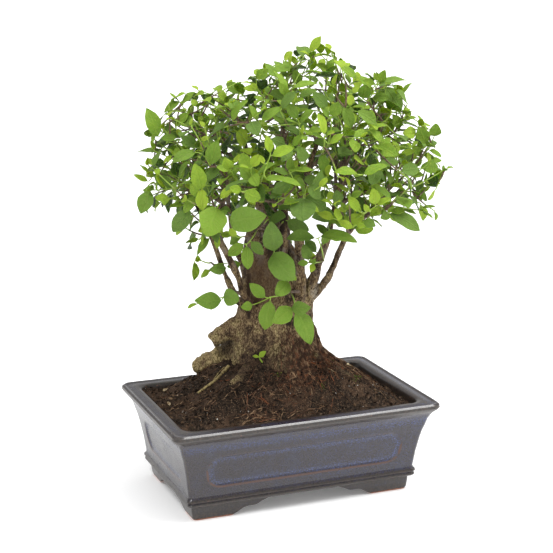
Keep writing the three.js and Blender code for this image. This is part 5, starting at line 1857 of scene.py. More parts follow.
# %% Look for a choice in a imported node
SAME_SPOT = 0.03
STEM_RADIUS = 0.9
STEM_TAPER = 0.7
COLLAR = 5
FORK_AT = 0.75
GAP = 0.3
STEM_SPANS = 2
STEM_FINENESS = 7
BOW_TRIES = [
    (0, 0, 0), (0, 0, 5), (5, 0, 0), (-5, 0, 0), (0, 5, 3), (0, -5, 3), (8, 0, 6), (-8, 0, 6),
    (0, 9, 0), (0, -9, 0),
]


def corners_of(node):
    """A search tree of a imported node's corners, in the pot's axes and millimetres."""
    points = places(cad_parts[node])
    tree = KDTree(len(points))
    for number, point in enumerate(points):
        tree.insert(point, number)
    tree.balance()
    return tree


def is_corner(corners, point):
    """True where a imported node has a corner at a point."""
    return corners.find(point)[2] < SAME_SPOT


def stem_path(corners, first, points):
    """The coarse path that a stem's solid took and its smooth one, or None where it was left out."""
    for bow in BOW_TRIES:
        bowed = [p if i in (0, len(points) - 1) else p + bow for i, p in enumerate(points)]
        path = np.array([*first, *bent(bowed, STEM_SPANS)])
        ring = rings_along(path, np.linspace(STEM_RADIUS, STEM_TAPER * STEM_RADIUS, len(path)), 3)[-1]
        if sum(is_corner(corners, point) for point in ring) >= 2:
            return path, np.array([*first, *bent(bowed, STEM_FINENESS)])
    return None


def grow_stems(branch, corners):
    """The paths of a branch's shoots: the first starts with its collar, the others fork off above it."""
    start = branch["twig"][2] + branch["twig_end"] * GAP
    collar = start + branch["twig_end"] * COLLAR
    fork = start + branch["twig_end"] * FORK_AT * COLLAR
    stems = []
    for number, (points, *_) in enumerate(branch["shoots"]):
        rest = [branch["put"](*point) for point in points[1:]]
        head = ([], [fork, *rest]) if number else ([start], [collar, *rest])
        stems.append(stem_path(corners, *head))
    return stems


print("stem rules ready")

# %% The choices of a leaf
SLIM = 0.52
PLUMP = 0.62
MOST_LEAN = 1.3
MOST_ROLL = 1.2
DEPTH_TRIES = (0, -3, 3, -6, 6, -10, 10, -14, 14)
TURN_TRIES = (0, 25, -25, 50, -50, 75, 100)
ROOT_MARGIN = 1.2
ROOT_OFFSET = 0.3
CROWN_MIDDLE = tree_point(14, 15, 250)


def nearest_on(paths, point):
    """The nearest point of some paths, a little in from the ends of their spans."""
    best, least = None, 1e9
    for path in paths:
        for a, b in zip(path, path[1:]):
            run = b - a
            margin = ROOT_MARGIN / np.linalg.norm(run)
            spot = a + run * np.clip(run.dot(point - a) / run.dot(run), margin, 1 - margin)
            gap = np.linalg.norm(spot - point)
            if gap < least:
                best, least = spot, gap
    return best, least


def seen_choices(row, depth, put, eye, paths):
    """A leaf that was read from the picture, at each depth that it may stand at."""
    base_x, base_z, tip_x, tip_z, width, _ = row
    looks = math.hypot(tip_x - base_x, tip_z - base_z)
    length = max(looks, min(width / PLUMP, MOST_LEAN * looks))
    wide = max(width, SLIM * length)
    roll = min(MOST_ROLL, math.acos(min(1, width / wide)))
    nearer = math.sqrt(length**2 - looks**2)
    for shift in DEPTH_TRIES:
        base = put(base_x, depth + shift, base_z)
        tip = put(tip_x, depth + shift, tip_z) + eye * nearer
        axis = unit(tip - base)
        facing = unit(eye - eye.dot(axis) * axis)
        normals = [facing * math.cos(a) + np.cross(axis, facing) * math.sin(a) for a in (roll, -roll)]
        spot, gap = nearest_on(paths, base)
        root = spot + unit(base - spot if gap > 0.5 else tip - spot) * ROOT_OFFSET
        normal = normals[0] if normals[0][2] > normals[1][2] else normals[1]
        yield {"root": root, "base": base, "tip": tip, "width": wide, "normal": normal}


def pair_choices(path, share, turn, size, outward):
    """One leaf of a pair, at each turn round its stem that it may take."""
    spot = share * (len(path) - 1)
    span = min(int(spot), len(path) - 2)
    base = path[span] + (path[span + 1] - path[span]) * (spot - span)
    stem = unit(path[span + 1] - path[span])
    first, second = square_to(stem)
    for more in TURN_TRIES:
        angle = turn + math.radians(more)
        away = first * math.cos(angle) + second * math.sin(angle)
        axis = unit(stem * 0.55 + away * 0.85 + (0, 0, 0.1))
        normal = unit(outward - outward.dot(axis) * axis)
        root = base + away * ROOT_OFFSET
        yield {"root": root, "base": root, "tip": base + axis * size, "width": SLIM * size, "normal": normal}


def chosen(corners, choices, age, **more):
    """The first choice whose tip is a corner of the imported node."""
    for leaf in choices:
        if is_corner(corners, leaf["tip"]):
            return [{**leaf, "age": age, **more}]
    return []


def grow_leaves(branch, corners):
    """All the leaves of a branch, first those that were read, then the pairs."""
    order = branch["order"]
    paths = [stem[0] for stem in branch["stems"] if stem]
    leaves = []
    for number, (stem, (points, rows, pairs, size)) in enumerate(zip(branch["stems"], branch["shoots"])):
        if not stem:
            continue
        path = stem[0]
        for row in rows:
            choices = seen_choices(row, points[-1][1], branch["put"], branch["eye"], paths)
            leaves += chosen(corners, choices, row[5], read=True)
        outward = unit(unit(path[-1] - CROWN_MIDDLE) + (0, 0, 0.6))
        for pair in range(pairs):
            share = 0.94 - 0.62 * pair / max(pairs, 2)
            for half in (0, 1):
                turn = math.pi * (0.5 * pair + half) + 0.5 * draw(order, 10 * number + pair)
                length = size * (0.85 + 0.3 * draw(order + 40, 10 * number + 2 * pair + half))
                age = 0.3 + 1.2 * draw(order + 20, 10 * number + 3 * pair + half)
                leaves += chosen(corners, pair_choices(path, share, turn, length, outward), age, read=False)
    return leaves


for branch in branches:
    corners = corners_of(branch["name"])
    branch["stems"] = grow_stems(branch, corners)
    branch["leaves"] = grow_leaves(branch, corners)
print("stems:", sum(stem is not None for branch in branches for stem in branch["stems"]))
print("leaves:", sum(len(branch["leaves"]) for branch in branches))
wanted = sum(len(rows) + 2 * pairs for branch in branches for _, rows, pairs, _ in branch["shoots"])
print("leaves and pairs in the readings:", wanted)

# %% [markdown]
# One blade
# A privet leaf is a pointed oval with a plain edge, folded a little along its midrib. One blade is modelled
# from a flat grid: each row is drawn in to the width that the outline has there, and the last row is merged
# to the tip. Every leaf is a copy of it. The copies are bent as they are placed, so that no two
# look alike: each has its own fold, arch, ripple and twist.

# %% Model the blade
# How far along the blade each row is, and its width there against the widest
BLADE_ROWS = [
    (0, 0.07), (0.05, 0.3), (0.14, 0.64), (0.28, 0.9), (0.44, 1), (0.6, 0.93), (0.75, 0.72), (0.87, 0.44),
    (0.95, 0.19), (1, 0),
]
BLADE_ACROSS = 4


def one_blade():
    """A flat blade one long and one wide, from its base at zero: along, aside from -1 to 1, and its faces."""
    rows = len(BLADE_ROWS) - 1
    bpy.ops.object.select_all(action="DESELECT")
    bpy.ops.mesh.primitive_grid_add(
        x_subdivisions=BLADE_ACROSS, y_subdivisions=rows, size=1, location=(0, 0.5, 0)
    )
    blade = settled(newest("blade"))
    row_of = [round(vertex.co.y * rows) for vertex in blade.data.vertices]
    set_values(blade, "row", row_of, "INT")
    bpy.ops.object.mode_set(mode="EDIT")
    for row, (along, wide) in enumerate(BLADE_ROWS):
        bpy.ops.mesh.select_all(action="DESELECT")
        shape = bmesh.from_edit_mesh(blade.data)
        layer = shape.verts.layers.int["row"]
        for vertex in shape.verts:
            vertex.select_set(vertex[layer] == row)
        bmesh.update_edit_mesh(blade.data)
        bpy.ops.transform.translate(value=(0, along - row / rows, 0))
        bpy.ops.transform.resize(value=(max(wide, 1e-4), 1, 1), center_override=(0, along, 0))
    bpy.ops.mesh.merge(type="CENTER")
    bpy.ops.object.mode_set(mode="OBJECT")
    flat = np.array([vertex.co for vertex in blade.data.vertices])
    faces = [list(face.vertices) for face in blade.data.polygons]
    bpy.data.objects.remove(blade)
    return flat[:, 1], flat[:, 0], faces


BLADE_ALONG, BLADE_ASIDE, BLADE_FACES = one_blade()
BLADE_WIDTHS = np.interp(BLADE_ALONG, *zip(*BLADE_ROWS))
BLADE_EDGE = 2 * BLADE_ASIDE / np.maximum(BLADE_WIDTHS, 1e-3)
OVAL_WIDTHS = 2 * np.sqrt(np.clip(BLADE_ALONG * (1 - BLADE_ALONG), 0, 1))
print("blade corners and faces:", len(BLADE_ALONG), len(BLADE_FACES))

# %% Bend a copy into its place
LEAF_SEED = 5
leaf_draws = np.random.default_rng(LEAF_SEED)
PETIOLE_SHARE = 0.1
LONG_STALK = 1.5
STALK_SIZE = (0.5, 0.3, 5)
STALK_SPANS = 5
PLUMP_FROM = 0.6
# The least and the most of a leaf's own fold, arch, hook and ripple
LEAF_FOLD = (0.06, 0.34)
LEAF_ARCH = (0.0, 0.09)
LEAF_HOOK = (0.0, 0.09)
LEAF_RIPPLE = (0.01, 0.075)
LEAF_TWIST = 0.16


def bent_blade(leaf):
    """A copy of the blade from a leaf's base to its tip, with a fold, arch, ripple and twist of its own."""
    along, wide = leaf["tip"] - leaf["base"], leaf["width"]
    length = np.linalg.norm(along)
    axis = along / length
    side = unit(np.cross(leaf["normal"], axis))
    up = np.cross(axis, side)
    fold = leaf_draws.uniform(*LEAF_FOLD)
    arch = leaf_draws.uniform(*LEAF_ARCH)
    hook = leaf_draws.uniform(*LEAF_HOOK)
    ripple = leaf_draws.uniform(*LEAF_RIPPLE)
    phase = leaf_draws.uniform(0, math.tau)
    twist = leaf_draws.normal() * LEAF_TWIST
    plump = np.clip((wide / length - PLUMP_FROM) / 0.25, 0, 1)
    ragged = 1 + 0.05 * np.sin(9 * BLADE_ALONG + phase) + 0.03 * np.sin(23 * BLADE_ALONG - phase)
    across = BLADE_EDGE * (BLADE_WIDTHS + (OVAL_WIDTHS - BLADE_WIDTHS) * 0.8 * plump) * ragged * wide / 2
    height = fold * np.abs(across) + 4 * arch * length * BLADE_ALONG * (1 - BLADE_ALONG)
    waves = np.sin(2.6 * math.pi * BLADE_ALONG + phase + 1.3 * np.sign(BLADE_EDGE))
    height += ripple * wide * BLADE_EDGE**2 * waves
    height -= hook * length * np.maximum(BLADE_ALONG - 0.6, 0) ** 2 * 4
    turn = twist * (BLADE_ALONG - 0.3)
    aside = across * np.cos(turn) - height * np.sin(turn)
    above = across * np.sin(turn) + height * np.cos(turn)
    points = leaf["base"] + np.outer(BLADE_ALONG * length, axis) + np.outer(aside, side) + np.outer(above, up)
    return points, BLADE_FACES


def leafstalk(leaf, paths):
    """The stalk from the nearest stem to the blade, bent in at both ends."""
    root = nearest_on(paths, leaf["root"])[0]
    axis = unit(leaf["tip"] - leaf["base"])
    into = leaf["base"] + axis * 0.16 * np.linalg.norm(leaf["tip"] - leaf["base"])
    reach = np.linalg.norm(leaf["base"] - root)
    before = leaf["base"] - axis * 0.45 * reach
    path = bent([root, before, leaf["base"], into - leaf["normal"] * 0.2], STALK_SPANS)
    return strand(path, *STALK_SIZE)


def shortened(leaf):
    """A leaf whose blade starts a stalk's length above the stem."""
    if np.linalg.norm(leaf["base"] - leaf["root"]) > LONG_STALK:
        return leaf
    base = leaf["base"] + (leaf["tip"] - leaf["base"]) * PETIOLE_SHARE
    return {**leaf, "base": base}


print("leaf rules ready")

# %% [markdown]
# Leaf and stem finishes
# Young privet leaves are a bright yellow green and old ones dark and bluish, and in this crown they hang side
# by side. So one finish serves all leaves and reads each leaf's age and a draw of its own. Veins follow the
# blade, so they are drawn from how far along and how far aside a point is. The underside is paler and duller.
# A little light passes through a blade, which subsurface scattering stands for. Pale blotches on the upper face
# are painted glints, and paler patches and specks are partly the leaf's own mottle and partly painted light on
# its puckers.

# %% Leaf green by age, with veins
VEIN_PAIRS = 7
VEIN_SLANT = 0.42


def leaf_finish(name, underside):
    """A leaf's upper or lower face."""
    finish = Finish(
        name, Subsurface_Weight=0.2, Subsurface_Radius=(0.5, 1.0, 0.2), Subsurface_Scale=0.001,
        Specular_IOR_Level=0.17,
    )
    age, chance = finish.attribute("age"), finish.attribute("chance")
    along, aside = finish.attribute("along"), abs(finish.attribute("aside"))
    young = finish.mix(chance, (0.190, 0.305, 0.006), (0.350, 0.450, 0.022))
    grown = finish.mix(chance, (0.070, 0.160, 0.002), (0.125, 0.225, 0.002))
    old = finish.mix(chance, (0.022, 0.058, 0.010), (0.052, 0.106, 0.017))
    green = finish.mix(age.step(0.15, 0.6), young, grown)
    green = finish.mix(age.step(1.0, 1.8), green, old)
    rays = abs(((along + aside * -VEIN_SLANT * 0.5) * VEIN_PAIRS * math.pi).sine())
    side_veins = (1 - rays.step(0.05, 0.42)) * (1 - aside.step(0.75, 1.0)) * 0.75
    midrib = 1 - aside.step(0.03, 0.15)
    margin = aside.step(0.84, 0.98) * 0.8
    veins = side_veins.largest(midrib).largest(margin)
    # Paler patches and specks: partly the leaf's own mottle and partly painted light on its puckers.
    patchy = finish.noise(4.5, 4.0, rough=0.75)
    lighter = finish.mix(age.step(0.2, 1.6), (0.290, 0.400, 0.012), (0.085, 0.155, 0.022))
    specks = finish.noise(1.5, 3.0).step(0.48, 0.70) * 0.35
    tinted = finish.mix(patchy.step(0.38, 0.66) * 0.6 + specks, green, lighter)
    pale_vein = finish.mix(age.step(0.3, 1.8), (0.300, 0.410, 0.022), (0.075, 0.145, 0.026))
    face = finish.mix(veins * (0.35 if underside else 0.6), tinted, pale_vein)
    # Painted glints: pale whitish blotches between the veins stand for gloss on the upper face.
    painted_glint = finish.noise(2.3, 3.0).step(0.52, 0.72) * (1 - veins)
    face = finish.mix(painted_glint * (0.1 if underside else 0.42), face, (0.340, 0.430, 0.130))
    if underside:
        face = finish.mix(0.4, face, (0.175, 0.270, 0.050))
    finish.set("Base Color", face)
    finish.set("Roughness", (0.58 if underside else 0.25) + 0.2 * patchy)
    puff = (1 - side_veins * 0.8) * (1 - midrib) + finish.noise(3.2, 2.0) * 1.8 + painted_glint * 0.5
    finish.bump(puff, -0.3 if underside else 1.2)
    return finish.material


def stem_finish():
    """Green shoots that turn brown towards their twig."""
    finish = Finish(
        "young_stem", Subsurface_Weight=0.1, Subsurface_Radius=(0.5, 1.0, 0.2), Subsurface_Scale=0.001
    )
    age, streak = finish.attribute("age"), finish.noise(2.4, 3.0)
    green = finish.mix(streak, (0.160, 0.270, 0.015), (0.290, 0.410, 0.050))
    brown = finish.mix(streak.step(0.35, 0.65), (0.060, 0.038, 0.022), (0.160, 0.105, 0.060))
    finish.set("Base Color", finish.mix((age + (streak - 0.5) * 0.5).step(0.55, 1.1), green, brown))
    finish.set("Roughness", 0.5 + 0.2 * age)
    finish.bump(streak, 0.15)
    return finish.material


leaf_top = leaf_finish("leaf_upper_face", False)
leaf_under = leaf_finish("leaf_lower_face", True)
young_stem = stem_finish()
print("leaf finishes ready")

# %% [markdown]
# Dress the branches
# Each branch is a piece of its own, as it would be if it were pruned off: its stems, its leafstalks and its
# blades. The blades are one-sided until the solidify modifier gives them the thickness of a real leaf, and
# hands their lower face the second finish.

# %% Build a leafy piece
BLADE_THICK = 0.3
STEM_SIDES = 6
AGE_BY_LENGTH = 0.035
COMMON_LENGTH = 16
STEM_START = 0.88
STEM_END = 0.42
BRANCH_WOODINESS = 1.1


def matured(leaf):
    """A leaf's age by its size too, because a leaf darkens while it grows."""
    return max(0, leaf["age"] + AGE_BY_LENGTH * (np.linalg.norm(leaf["tip"] - leaf["base"]) - COMMON_LENGTH))


def leafy_piece(name, paths, leaves, woodiness, node=None):
    """Blades with their thickness, their stalks, and stems that start as brown as woodiness says."""
    ages = [matured(leaf) for leaf in leaves]
    chances = leaf_draws.random(len(leaves))
    blades = gathered(
        name, [bent_blade(leaf) for leaf in leaves], age=ages, chance=chances,
        along=[BLADE_ALONG] * len(leaves), aside=[BLADE_EDGE] * len(leaves),
    )
    blades.data.materials.append(leaf_top)
    blades.data.materials.append(leaf_under)
    with_modifier(blades, "SOLIDIFY", thickness=BLADE_THICK * MM, offset=-1, material_offset=1)
    stems = [strand(path, STEM_START, STEM_END, STEM_SIDES) for path in paths]
    stalks = [leafstalk(leaf, paths) for leaf in leaves]
    woody = [np.repeat(np.linspace(woodiness, 0, len(path)), STEM_SIDES) for path in paths]
    green = gathered(name + "_stems", stems + stalks, age=woody + [0.2] * len(stalks))
    green.data.materials.append(young_stem)
    smooth(green, 60)
    smooth(blades, 60)
    green.select_set(True)
    bpy.ops.object.join()
    grown_with(blades, "leaf", *([node] if node else []))
    return blades


for branch in branches:
    branch["paths"] = [stem[1] for stem in branch["stems"] if stem]
    branch["leaves"] = [shortened(leaf) for leaf in branch["leaves"]]
    name = branch["name"]
    leafy_piece(name + "_leaves", branch["paths"], branch["leaves"], BRANCH_WOODINESS, name)

# %% Bare twigs from the limbs to the branches
TWIG_SIDES = 7
TWIG_FINENESS = 8
TWIG_END = 1.0
TWIG_INTO = 1.2


def twig_finish():
    """Thin brown bark, greyer and smoother than the trunk's, with pale pores."""
    finish = Finish("twig_bark")
    streak = finish.noise(3.0, 4.0)
    pores = finish.noise(0.8, 2.0).step(0.62, 0.7)
    plain = finish.mix(streak.step(0.35, 0.65), (0.055, 0.036, 0.024), (0.165, 0.115, 0.072))
    finish.set("Base Color", finish.mix(pores * 0.7, plain, (0.26, 0.21, 0.15)))
    finish.set("Roughness", 0.72 + 0.15 * streak)
    finish.bump(finish.noise(1.2, 3.0), 0.3)
    return finish.material


def twig_part(branch):
    """One twig, thick at its limb and thin at its branch."""
    path = bent(branch["twig"], TWIG_FINENESS)
    end = path[-1] + branch["twig_end"] * TWIG_INTO
    return strand([*path, end], branch["twig_radius"], TWIG_END, TWIG_SIDES)


twig_bark = twig_finish()
twigs = gathered("bare_twigs", [twig_part(branch) for branch in branches])
twigs.data.materials.append(twig_bark)
smooth(twigs, 60)
grown_with(twigs, "bark")

# %% [markdown]
# The inner crown
# The branches so far are those that stand out. A clipped privet also fills itself with short side shoots,
# each with a few pairs of leaves, and they make the crown dense and dark inside. They could be scattered as
# particles, but then they would cut through each other and hide the leaves that were read. So a rule grows
# them one by one from the stems and twigs, and keeps a leaf only where three grids of small cells allow it:
# one in space holds what is taken, one in the picture holds the crown's outline, and one how near the leaves
# that were read are. Last, where the picture still has a hole high in the crown, shoots are led to it from
# the stems beside it, so that the crown closes as the real one does.

# %% Cells in space and in the picture
CELL = 3.0
VIEW_CELL = 2.5
VIEW_CELLS = 160
CAMERA_DOWN = 13.1
CAMERA_PLACE = np.array([-448.81, -1119.62, 474.19])
DOWN_COS = math.cos(math.radians(CAMERA_DOWN))
DOWN_SIN = math.sin(math.radians(CAMERA_DOWN))
VIEW_AXES = np.array([
    tree_point(1, 0, 0), tree_point(0, DOWN_SIN, DOWN_COS), tree_point(0, DOWN_COS, -DOWN_SIN)
])
VIEW_DISTANCE = VIEW_AXES[2].dot(CROWN_MIDDLE - CAMERA_PLACE)
ALONG_TESTS = (0.08, 0.25, 0.42, 0.59, 0.76, 0.94)
ASIDE_TESTS = (-0.34, 0, 0.34)
OUTLINE_GROWS = 8
OUTLINE_SHRINKS = 6


def tests_on(leaf):
    """Test points all over a leaf."""
    run = leaf["tip"] - leaf["base"]
    side = unit(np.cross(leaf["normal"], run)) * leaf["width"]
    rows = np.interp(ALONG_TESTS, *zip(*BLADE_ROWS))
    return np.array([
        leaf["base"] + run * along + side * aside * wide
        for along, wide in zip(ALONG_TESTS, rows) for aside in ASIDE_TESTS
    ])


def cells_of(points):
    """The space cells that hold some points."""
    return {tuple(cell) for cell in np.floor(points / CELL).astype(int)}


def seen_cells(points):
    """The picture cells of some points, and how far away they are."""
    right, up, away = VIEW_AXES @ (points - CAMERA_PLACE).T
    place = np.array([right, up]) / away * VIEW_DISTANCE / VIEW_CELL
    middle = VIEW_AXES[:2] @ (CROWN_MIDDLE - CAMERA_PLACE) / VIEW_CELL
    return tuple(np.floor(place - middle[:, None] + VIEW_CELLS / 2).astype(int).clip(0, VIEW_CELLS - 1)), away


def spread(mask, steps):
    """A mask that has grown by some cells each way."""
    for _ in range(steps):
        wider = mask.copy()
        wider[1:] |= mask[:-1]
        wider[:-1] |= mask[1:]
        wider[:, 1:] |= mask[:, :-1]
        wider[:, :-1] |= mask[:, 1:]
        mask = wider
    return mask


taken = set()
nearest_read = np.full((VIEW_CELLS, VIEW_CELLS), np.inf)
covered = np.zeros((VIEW_CELLS, VIEW_CELLS), bool)
for branch in branches:
    for leaf in branch["leaves"]:
        spots = tests_on(leaf)
        taken |= cells_of(spots)
        cells, away = seen_cells(spots)
        covered[cells] = True
        if leaf["read"] and branch["eye"] is EYE_FRONT:
            np.minimum.at(nearest_read, cells, away)
outline = ~spread(~spread(np.isfinite(nearest_read), OUTLINE_GROWS), OUTLINE_SHRINKS)
print("cells taken:", len(taken), "cells in the outline:", int(outline.sum()))

# %% Fill the holes in the outline's upper part
CLOSED_ABOVE = 258
CLOSED_ROW = seen_cells(np.array([tree_point(0, 0, CLOSED_ABOVE)]))[0][1][0]
FLOOD_STEPS = 3 * VIEW_CELLS


def without_holes(mask):
    """A mask with its holes filled, because a flood from the picture's edge doesn't reach them."""
    outside = np.ones_like(mask)
    outside[1:-1, 1:-1] = False
    for _ in range(FLOOD_STEPS):
        outside |= spread(outside, 1) & ~mask
    return ~outside


outline[:, CLOSED_ROW:] |= without_holes(outline)[:, CLOSED_ROW:]
print("cells in the filled outline:", int(outline.sum()))

# %% A side shoot from any stem, and one that leads to a hole
INNER_SEED = 23
inner_draws = np.random.default_rng(INNER_SEED)
SHOOT_REACH = (14, 46)
SHOOT_BEND = 2.5
SHOOT_SPANS = 5
LONGEST_SHOOT = 42
PAST_HOLE = (2, 10)
PICTURE_MIDDLE = VIEW_AXES[:2] @ (CROWN_MIDDLE - CAMERA_PLACE)
STEM_POINTS = np.array([
    point for branch in branches for line in [*branch["paths"], bent(branch["twig"], STEM_FINENESS)]
    for point in line[1:]
])


def side_shoot():
    """A short, bent side shoot from some stem or twig, out and up, with its direction at the tip."""
    branch = branches[inner_draws.integers(len(branches))]
    lines = [*branch["paths"], np.array(bent(branch["twig"], STEM_FINENESS))]
    line = lines[inner_draws.integers(len(lines))]
    start = line[inner_draws.integers(1, len(line))]
    out = unit(start - CROWN_MIDDLE + (0, 0, 30))
    lead = unit(out * 0.8 + inner_draws.normal(size=3) * 0.62 + (0, 0, 0.25))
    reach = inner_draws.uniform(*SHOOT_REACH)
    middle = start + lead * reach * 0.5 + inner_draws.normal(size=3) * SHOOT_BEND
    return np.array(bent([start, middle, start + lead * reach + (0, 0, 0.12 * reach)], SHOOT_SPANS))


def open_cells():
    """The cells high in the crown's picture that no leaf covers."""
    cells = np.argwhere(outline & ~covered)
    return cells[cells[:, 1] > CLOSED_ROW]


def shoot_to_hole():
    """A side shoot that leads from some stem or twig beside a hole in the crown's picture to that hole."""
    holes = open_cells()
    cell = holes[inner_draws.integers(len(holes))]
    spot = (cell + 0.5 - VIEW_CELLS / 2) * VIEW_CELL + PICTURE_MIDDLE
    line = unit(VIEW_AXES.T @ [*spot / VIEW_DISTANCE, 1])
    depths = (STEM_POINTS - CAMERA_PLACE) @ line
    aside = np.linalg.norm(STEM_POINTS - CAMERA_PLACE - depths[:, None] * line, axis=1)
    beside = np.flatnonzero((aside > 4) & (aside < LONGEST_SHOOT))
    pick = beside[inner_draws.integers(len(beside))]
    start, end = STEM_POINTS[pick], CAMERA_PLACE + depths[pick] * line + inner_draws.normal(size=3) * 3
    middle = (start + end) / 2 + inner_draws.normal(size=3) * SHOOT_BEND
    return np.array(bent([start, middle, end + unit(end - start) * inner_draws.uniform(*PAST_HOLE)], SHOOT_SPANS))


print("places to start a shoot:", len(STEM_POINTS))

# %% The leaves of a side shoot, and whether they fit
PAIR_GAP = (9, 13)
SHOOT_LEAF = (15, 25)
TREE_AXES = np.array([tree_point(1, 0, 0), tree_point(0, 1, 0), tree_point(0, 0, 1)]).T
CROWN_CENTRE = np.array([14, 18, 276])
CROWN_REACH = np.array([134, 112, 124])


def leaves_along(path):
    """Opposite leaves along a shoot, each pair turned a quarter from the last, small ones at the tip."""
    reach = np.linalg.norm(path[-1] - path[0])
    pairs = 1 + int(reach / inner_draws.uniform(*PAIR_GAP))
    turn = inner_draws.uniform(0, math.tau)
    largest = inner_draws.uniform(*SHOOT_LEAF)
    for pair in range(pairs):
        spot = path[-1] + (path[0] - path[-1]) * pair / (pairs + 0.4)
        spot = nearest_on([path], spot)[0]
        stem = unit(path[-1] - path[0])
        first, second = square_to(stem)
        size = largest * min(1, 0.55 + 0.25 * pair)
        for half in (0, 1):
            angle = turn + math.pi * (0.5 * pair + half) + inner_draws.normal() * 0.3
            away = first * math.cos(angle) + second * math.sin(angle)
            axis = unit(stem * (0.75 if pair == 0 else 0.45) + away * 0.85 + (0, 0, -0.05 * pair))
            outward = unit(spot - CROWN_MIDDLE) + (0, 0, 0.7) + inner_draws.normal(size=3) * 0.35
            normal = unit(outward - outward.dot(axis) * axis)
            length = size * inner_draws.uniform(0.85, 1.15)
            root = spot + away * ROOT_OFFSET
            # Leaves further back along a shoot are older and darker, as on privet, and this also paints the shade
            # deep in the crown.
            yield {
                "root": root, "base": root + axis * PETIOLE_SHARE * length, "tip": root + axis * length,
                "width": length * inner_draws.uniform(0.5, 0.66), "normal": normal,
                "age": np.clip(0.2 + 0.55 * pair + inner_draws.normal() * 0.55, 0, 2),
            }


def fits(leaf, least_new):
    """True where a leaf has room, stays in the crown, hides no read leaf and closes enough of a gap."""
    spots = tests_on(leaf)
    in_reach = np.linalg.norm((spots @ TREE_AXES - CROWN_CENTRE) / CROWN_REACH, axis=1).max() < 1
    if not in_reach or cells_of(spots) & taken:
        return False
    cells, away = seen_cells(spots)
    hides = (away < nearest_read[cells]).mean() - np.isinf(nearest_read[cells]).mean()
    return outline[cells].mean() > 0.9 and hides < 0.12 and (~covered[cells]).mean() >= least_new


print("shoot rules ready")

# %% Grow the side shoots until the crown is full
INNER_TRIES = 6000
INNER_LEAVES = 720
LOWEST_SHOOT = 205
CLOSING_TRIES = 1800
CLOSING_LEAVES = 320
LOWEST_CLOSING = CLOSED_ABOVE - 20
LEAST_NEW = 0.3
STEP_ASIDE = [(0, 0, 0), (1, 0, 0), (-1, 0, 0), (0, 1, 0), (0, -1, 0), (0, 0, 1), (0, 0, -1)]
shoots = []


def grow_shoots(new_shoot, tries, most, lowest, least_new, fewest):
    """Tries side shoots until enough leaves have found room."""
    grown = 0
    for _ in range(tries):
        path = new_shoot()
        if path[-1][2] < lowest or grown >= most or not outline[seen_cells(path)[0]].all():
            continue
        leaves = [leaf for leaf in leaves_along(path) if fits(leaf, least_new)]
        if len(leaves) < fewest:
            continue
        for leaf in leaves:
            covered[seen_cells(tests_on(leaf))[0]] = True
            for step in STEP_ASIDE:
                taken.update(cells_of(tests_on(leaf) + np.array(step) * CELL * 0.8))
        bearing = max(np.linalg.norm(leaf["root"] - path[0]) for leaf in leaves)
        kept = [point for point in path if np.linalg.norm(point - path[0]) < bearing]
        tip = nearest_on([path], path[0] + unit(path[-1] - path[0]) * bearing)[0]
        shoots.append((np.array([*kept, tip]), leaves))
        grown += len(leaves)
    return grown


inside = grow_shoots(side_shoot, INNER_TRIES, INNER_LEAVES, LOWEST_SHOOT, least_new=0, fewest=2)
closing = grow_shoots(shoot_to_hole, CLOSING_TRIES, CLOSING_LEAVES, LOWEST_CLOSING, LEAST_NEW, fewest=1)
print("leaves inside:", inside, "and leaves that close gaps:", closing)
print("cells still open high up:", len(open_cells()))
print("side shoots:", len(shoots))

# %% One piece for each part of the crown
SECTORS = 6
INNER_WOODINESS = 2.2
for sector in range(SECTORS):
    for upper in (False, True):
        group = [
            (path, leaves) for path, leaves in shoots
            if int((math.atan2(*(path[-1] - CROWN_MIDDLE)[:2]) / math.tau % 1) * SECTORS) == sector
            and (path[-1][2] > CROWN_CENTRE[2]) == upper
        ]
        if group:
            name = f"inner_shoots_{'upper' if upper else 'lower'}_{sector + 1}"
            paths = [path for path, _ in group]
            held = [leaf for _, leaves in group for leaf in leaves]
            leafy_piece(name, paths, held, INNER_WOODINESS)

# %% [markdown]
# At the stump's foot
# A tiny shoot with one pair of leaves comes out of the bark in front. Scraps of dry leaf and a few tufts of
# moss lie on the soil. They are small, but they are what makes soil look lived in.

# %% The shoot, the scraps and the moss
SUCKER_STEM = [(-13.2, -16.5, 118), (-14.6, -19, 121), (-16.5, -20.2, 124.8)]
# Base, tip and width of each leaf, on the tree's axes
SUCKER_LEAVES = [
    ((-16.8, -20.2, 125), (-22, -20.4, 126), 2.8), ((-16.3, -20.2, 125), (-10.2, -20.6, 130.4), 5),
]
# Middle, length and heading in degrees of each dry scrap
SCRAPS = [
    (67, -9, 8, 30), (73, -2, 6, 110), (80, 8, 7, 200), (-91, 49, 6, 20), (-99, 13, 7, 80),
    (40, -30, 5, 150),
]
MOSS_TUFTS = [(62, -36), (66, -33), (27, -40), (72, -8), (46, -20), (-10, -24)]
MOSS_GRAINS = 22
MOSS_SPREAD = 1.6
MOSS_SIZES = (0.5, 1.3)


def dry_scrap(x, y, length, heading):
    """One scrap of dry leaf, curled, with its ends on the soil."""
    run = np.array([math.cos(math.radians(heading)), math.sin(math.radians(heading)), 0]) * length / 2
    ends = [np.array([x, y, 0]) + side * run for side in (-1, 1)]
    base, tip = [np.array([end[0], end[1], ground(*end[:2]) + 1.2]) for end in ends]
    leaf = {"base": base, "tip": tip, "width": 0.45 * length, "normal": unit(np.array([0.2, -0.3, 1.0]))}
    return bent_blade(leaf)


def scrap_finish():
    """Dry leaf, straw-coloured with brown stains."""
    finish = Finish("dry_leaf", Specular_IOR_Level=0.3)
    stain = finish.noise(2.0, 3.0)
    finish.set("Base Color", finish.mix(stain.step(0.4, 0.65), (0.42, 0.33, 0.20), (0.16, 0.10, 0.05)))
    finish.set("Roughness", 0.6 + 0.2 * stain)
    finish.bump(stain, 0.3)
    return finish.material


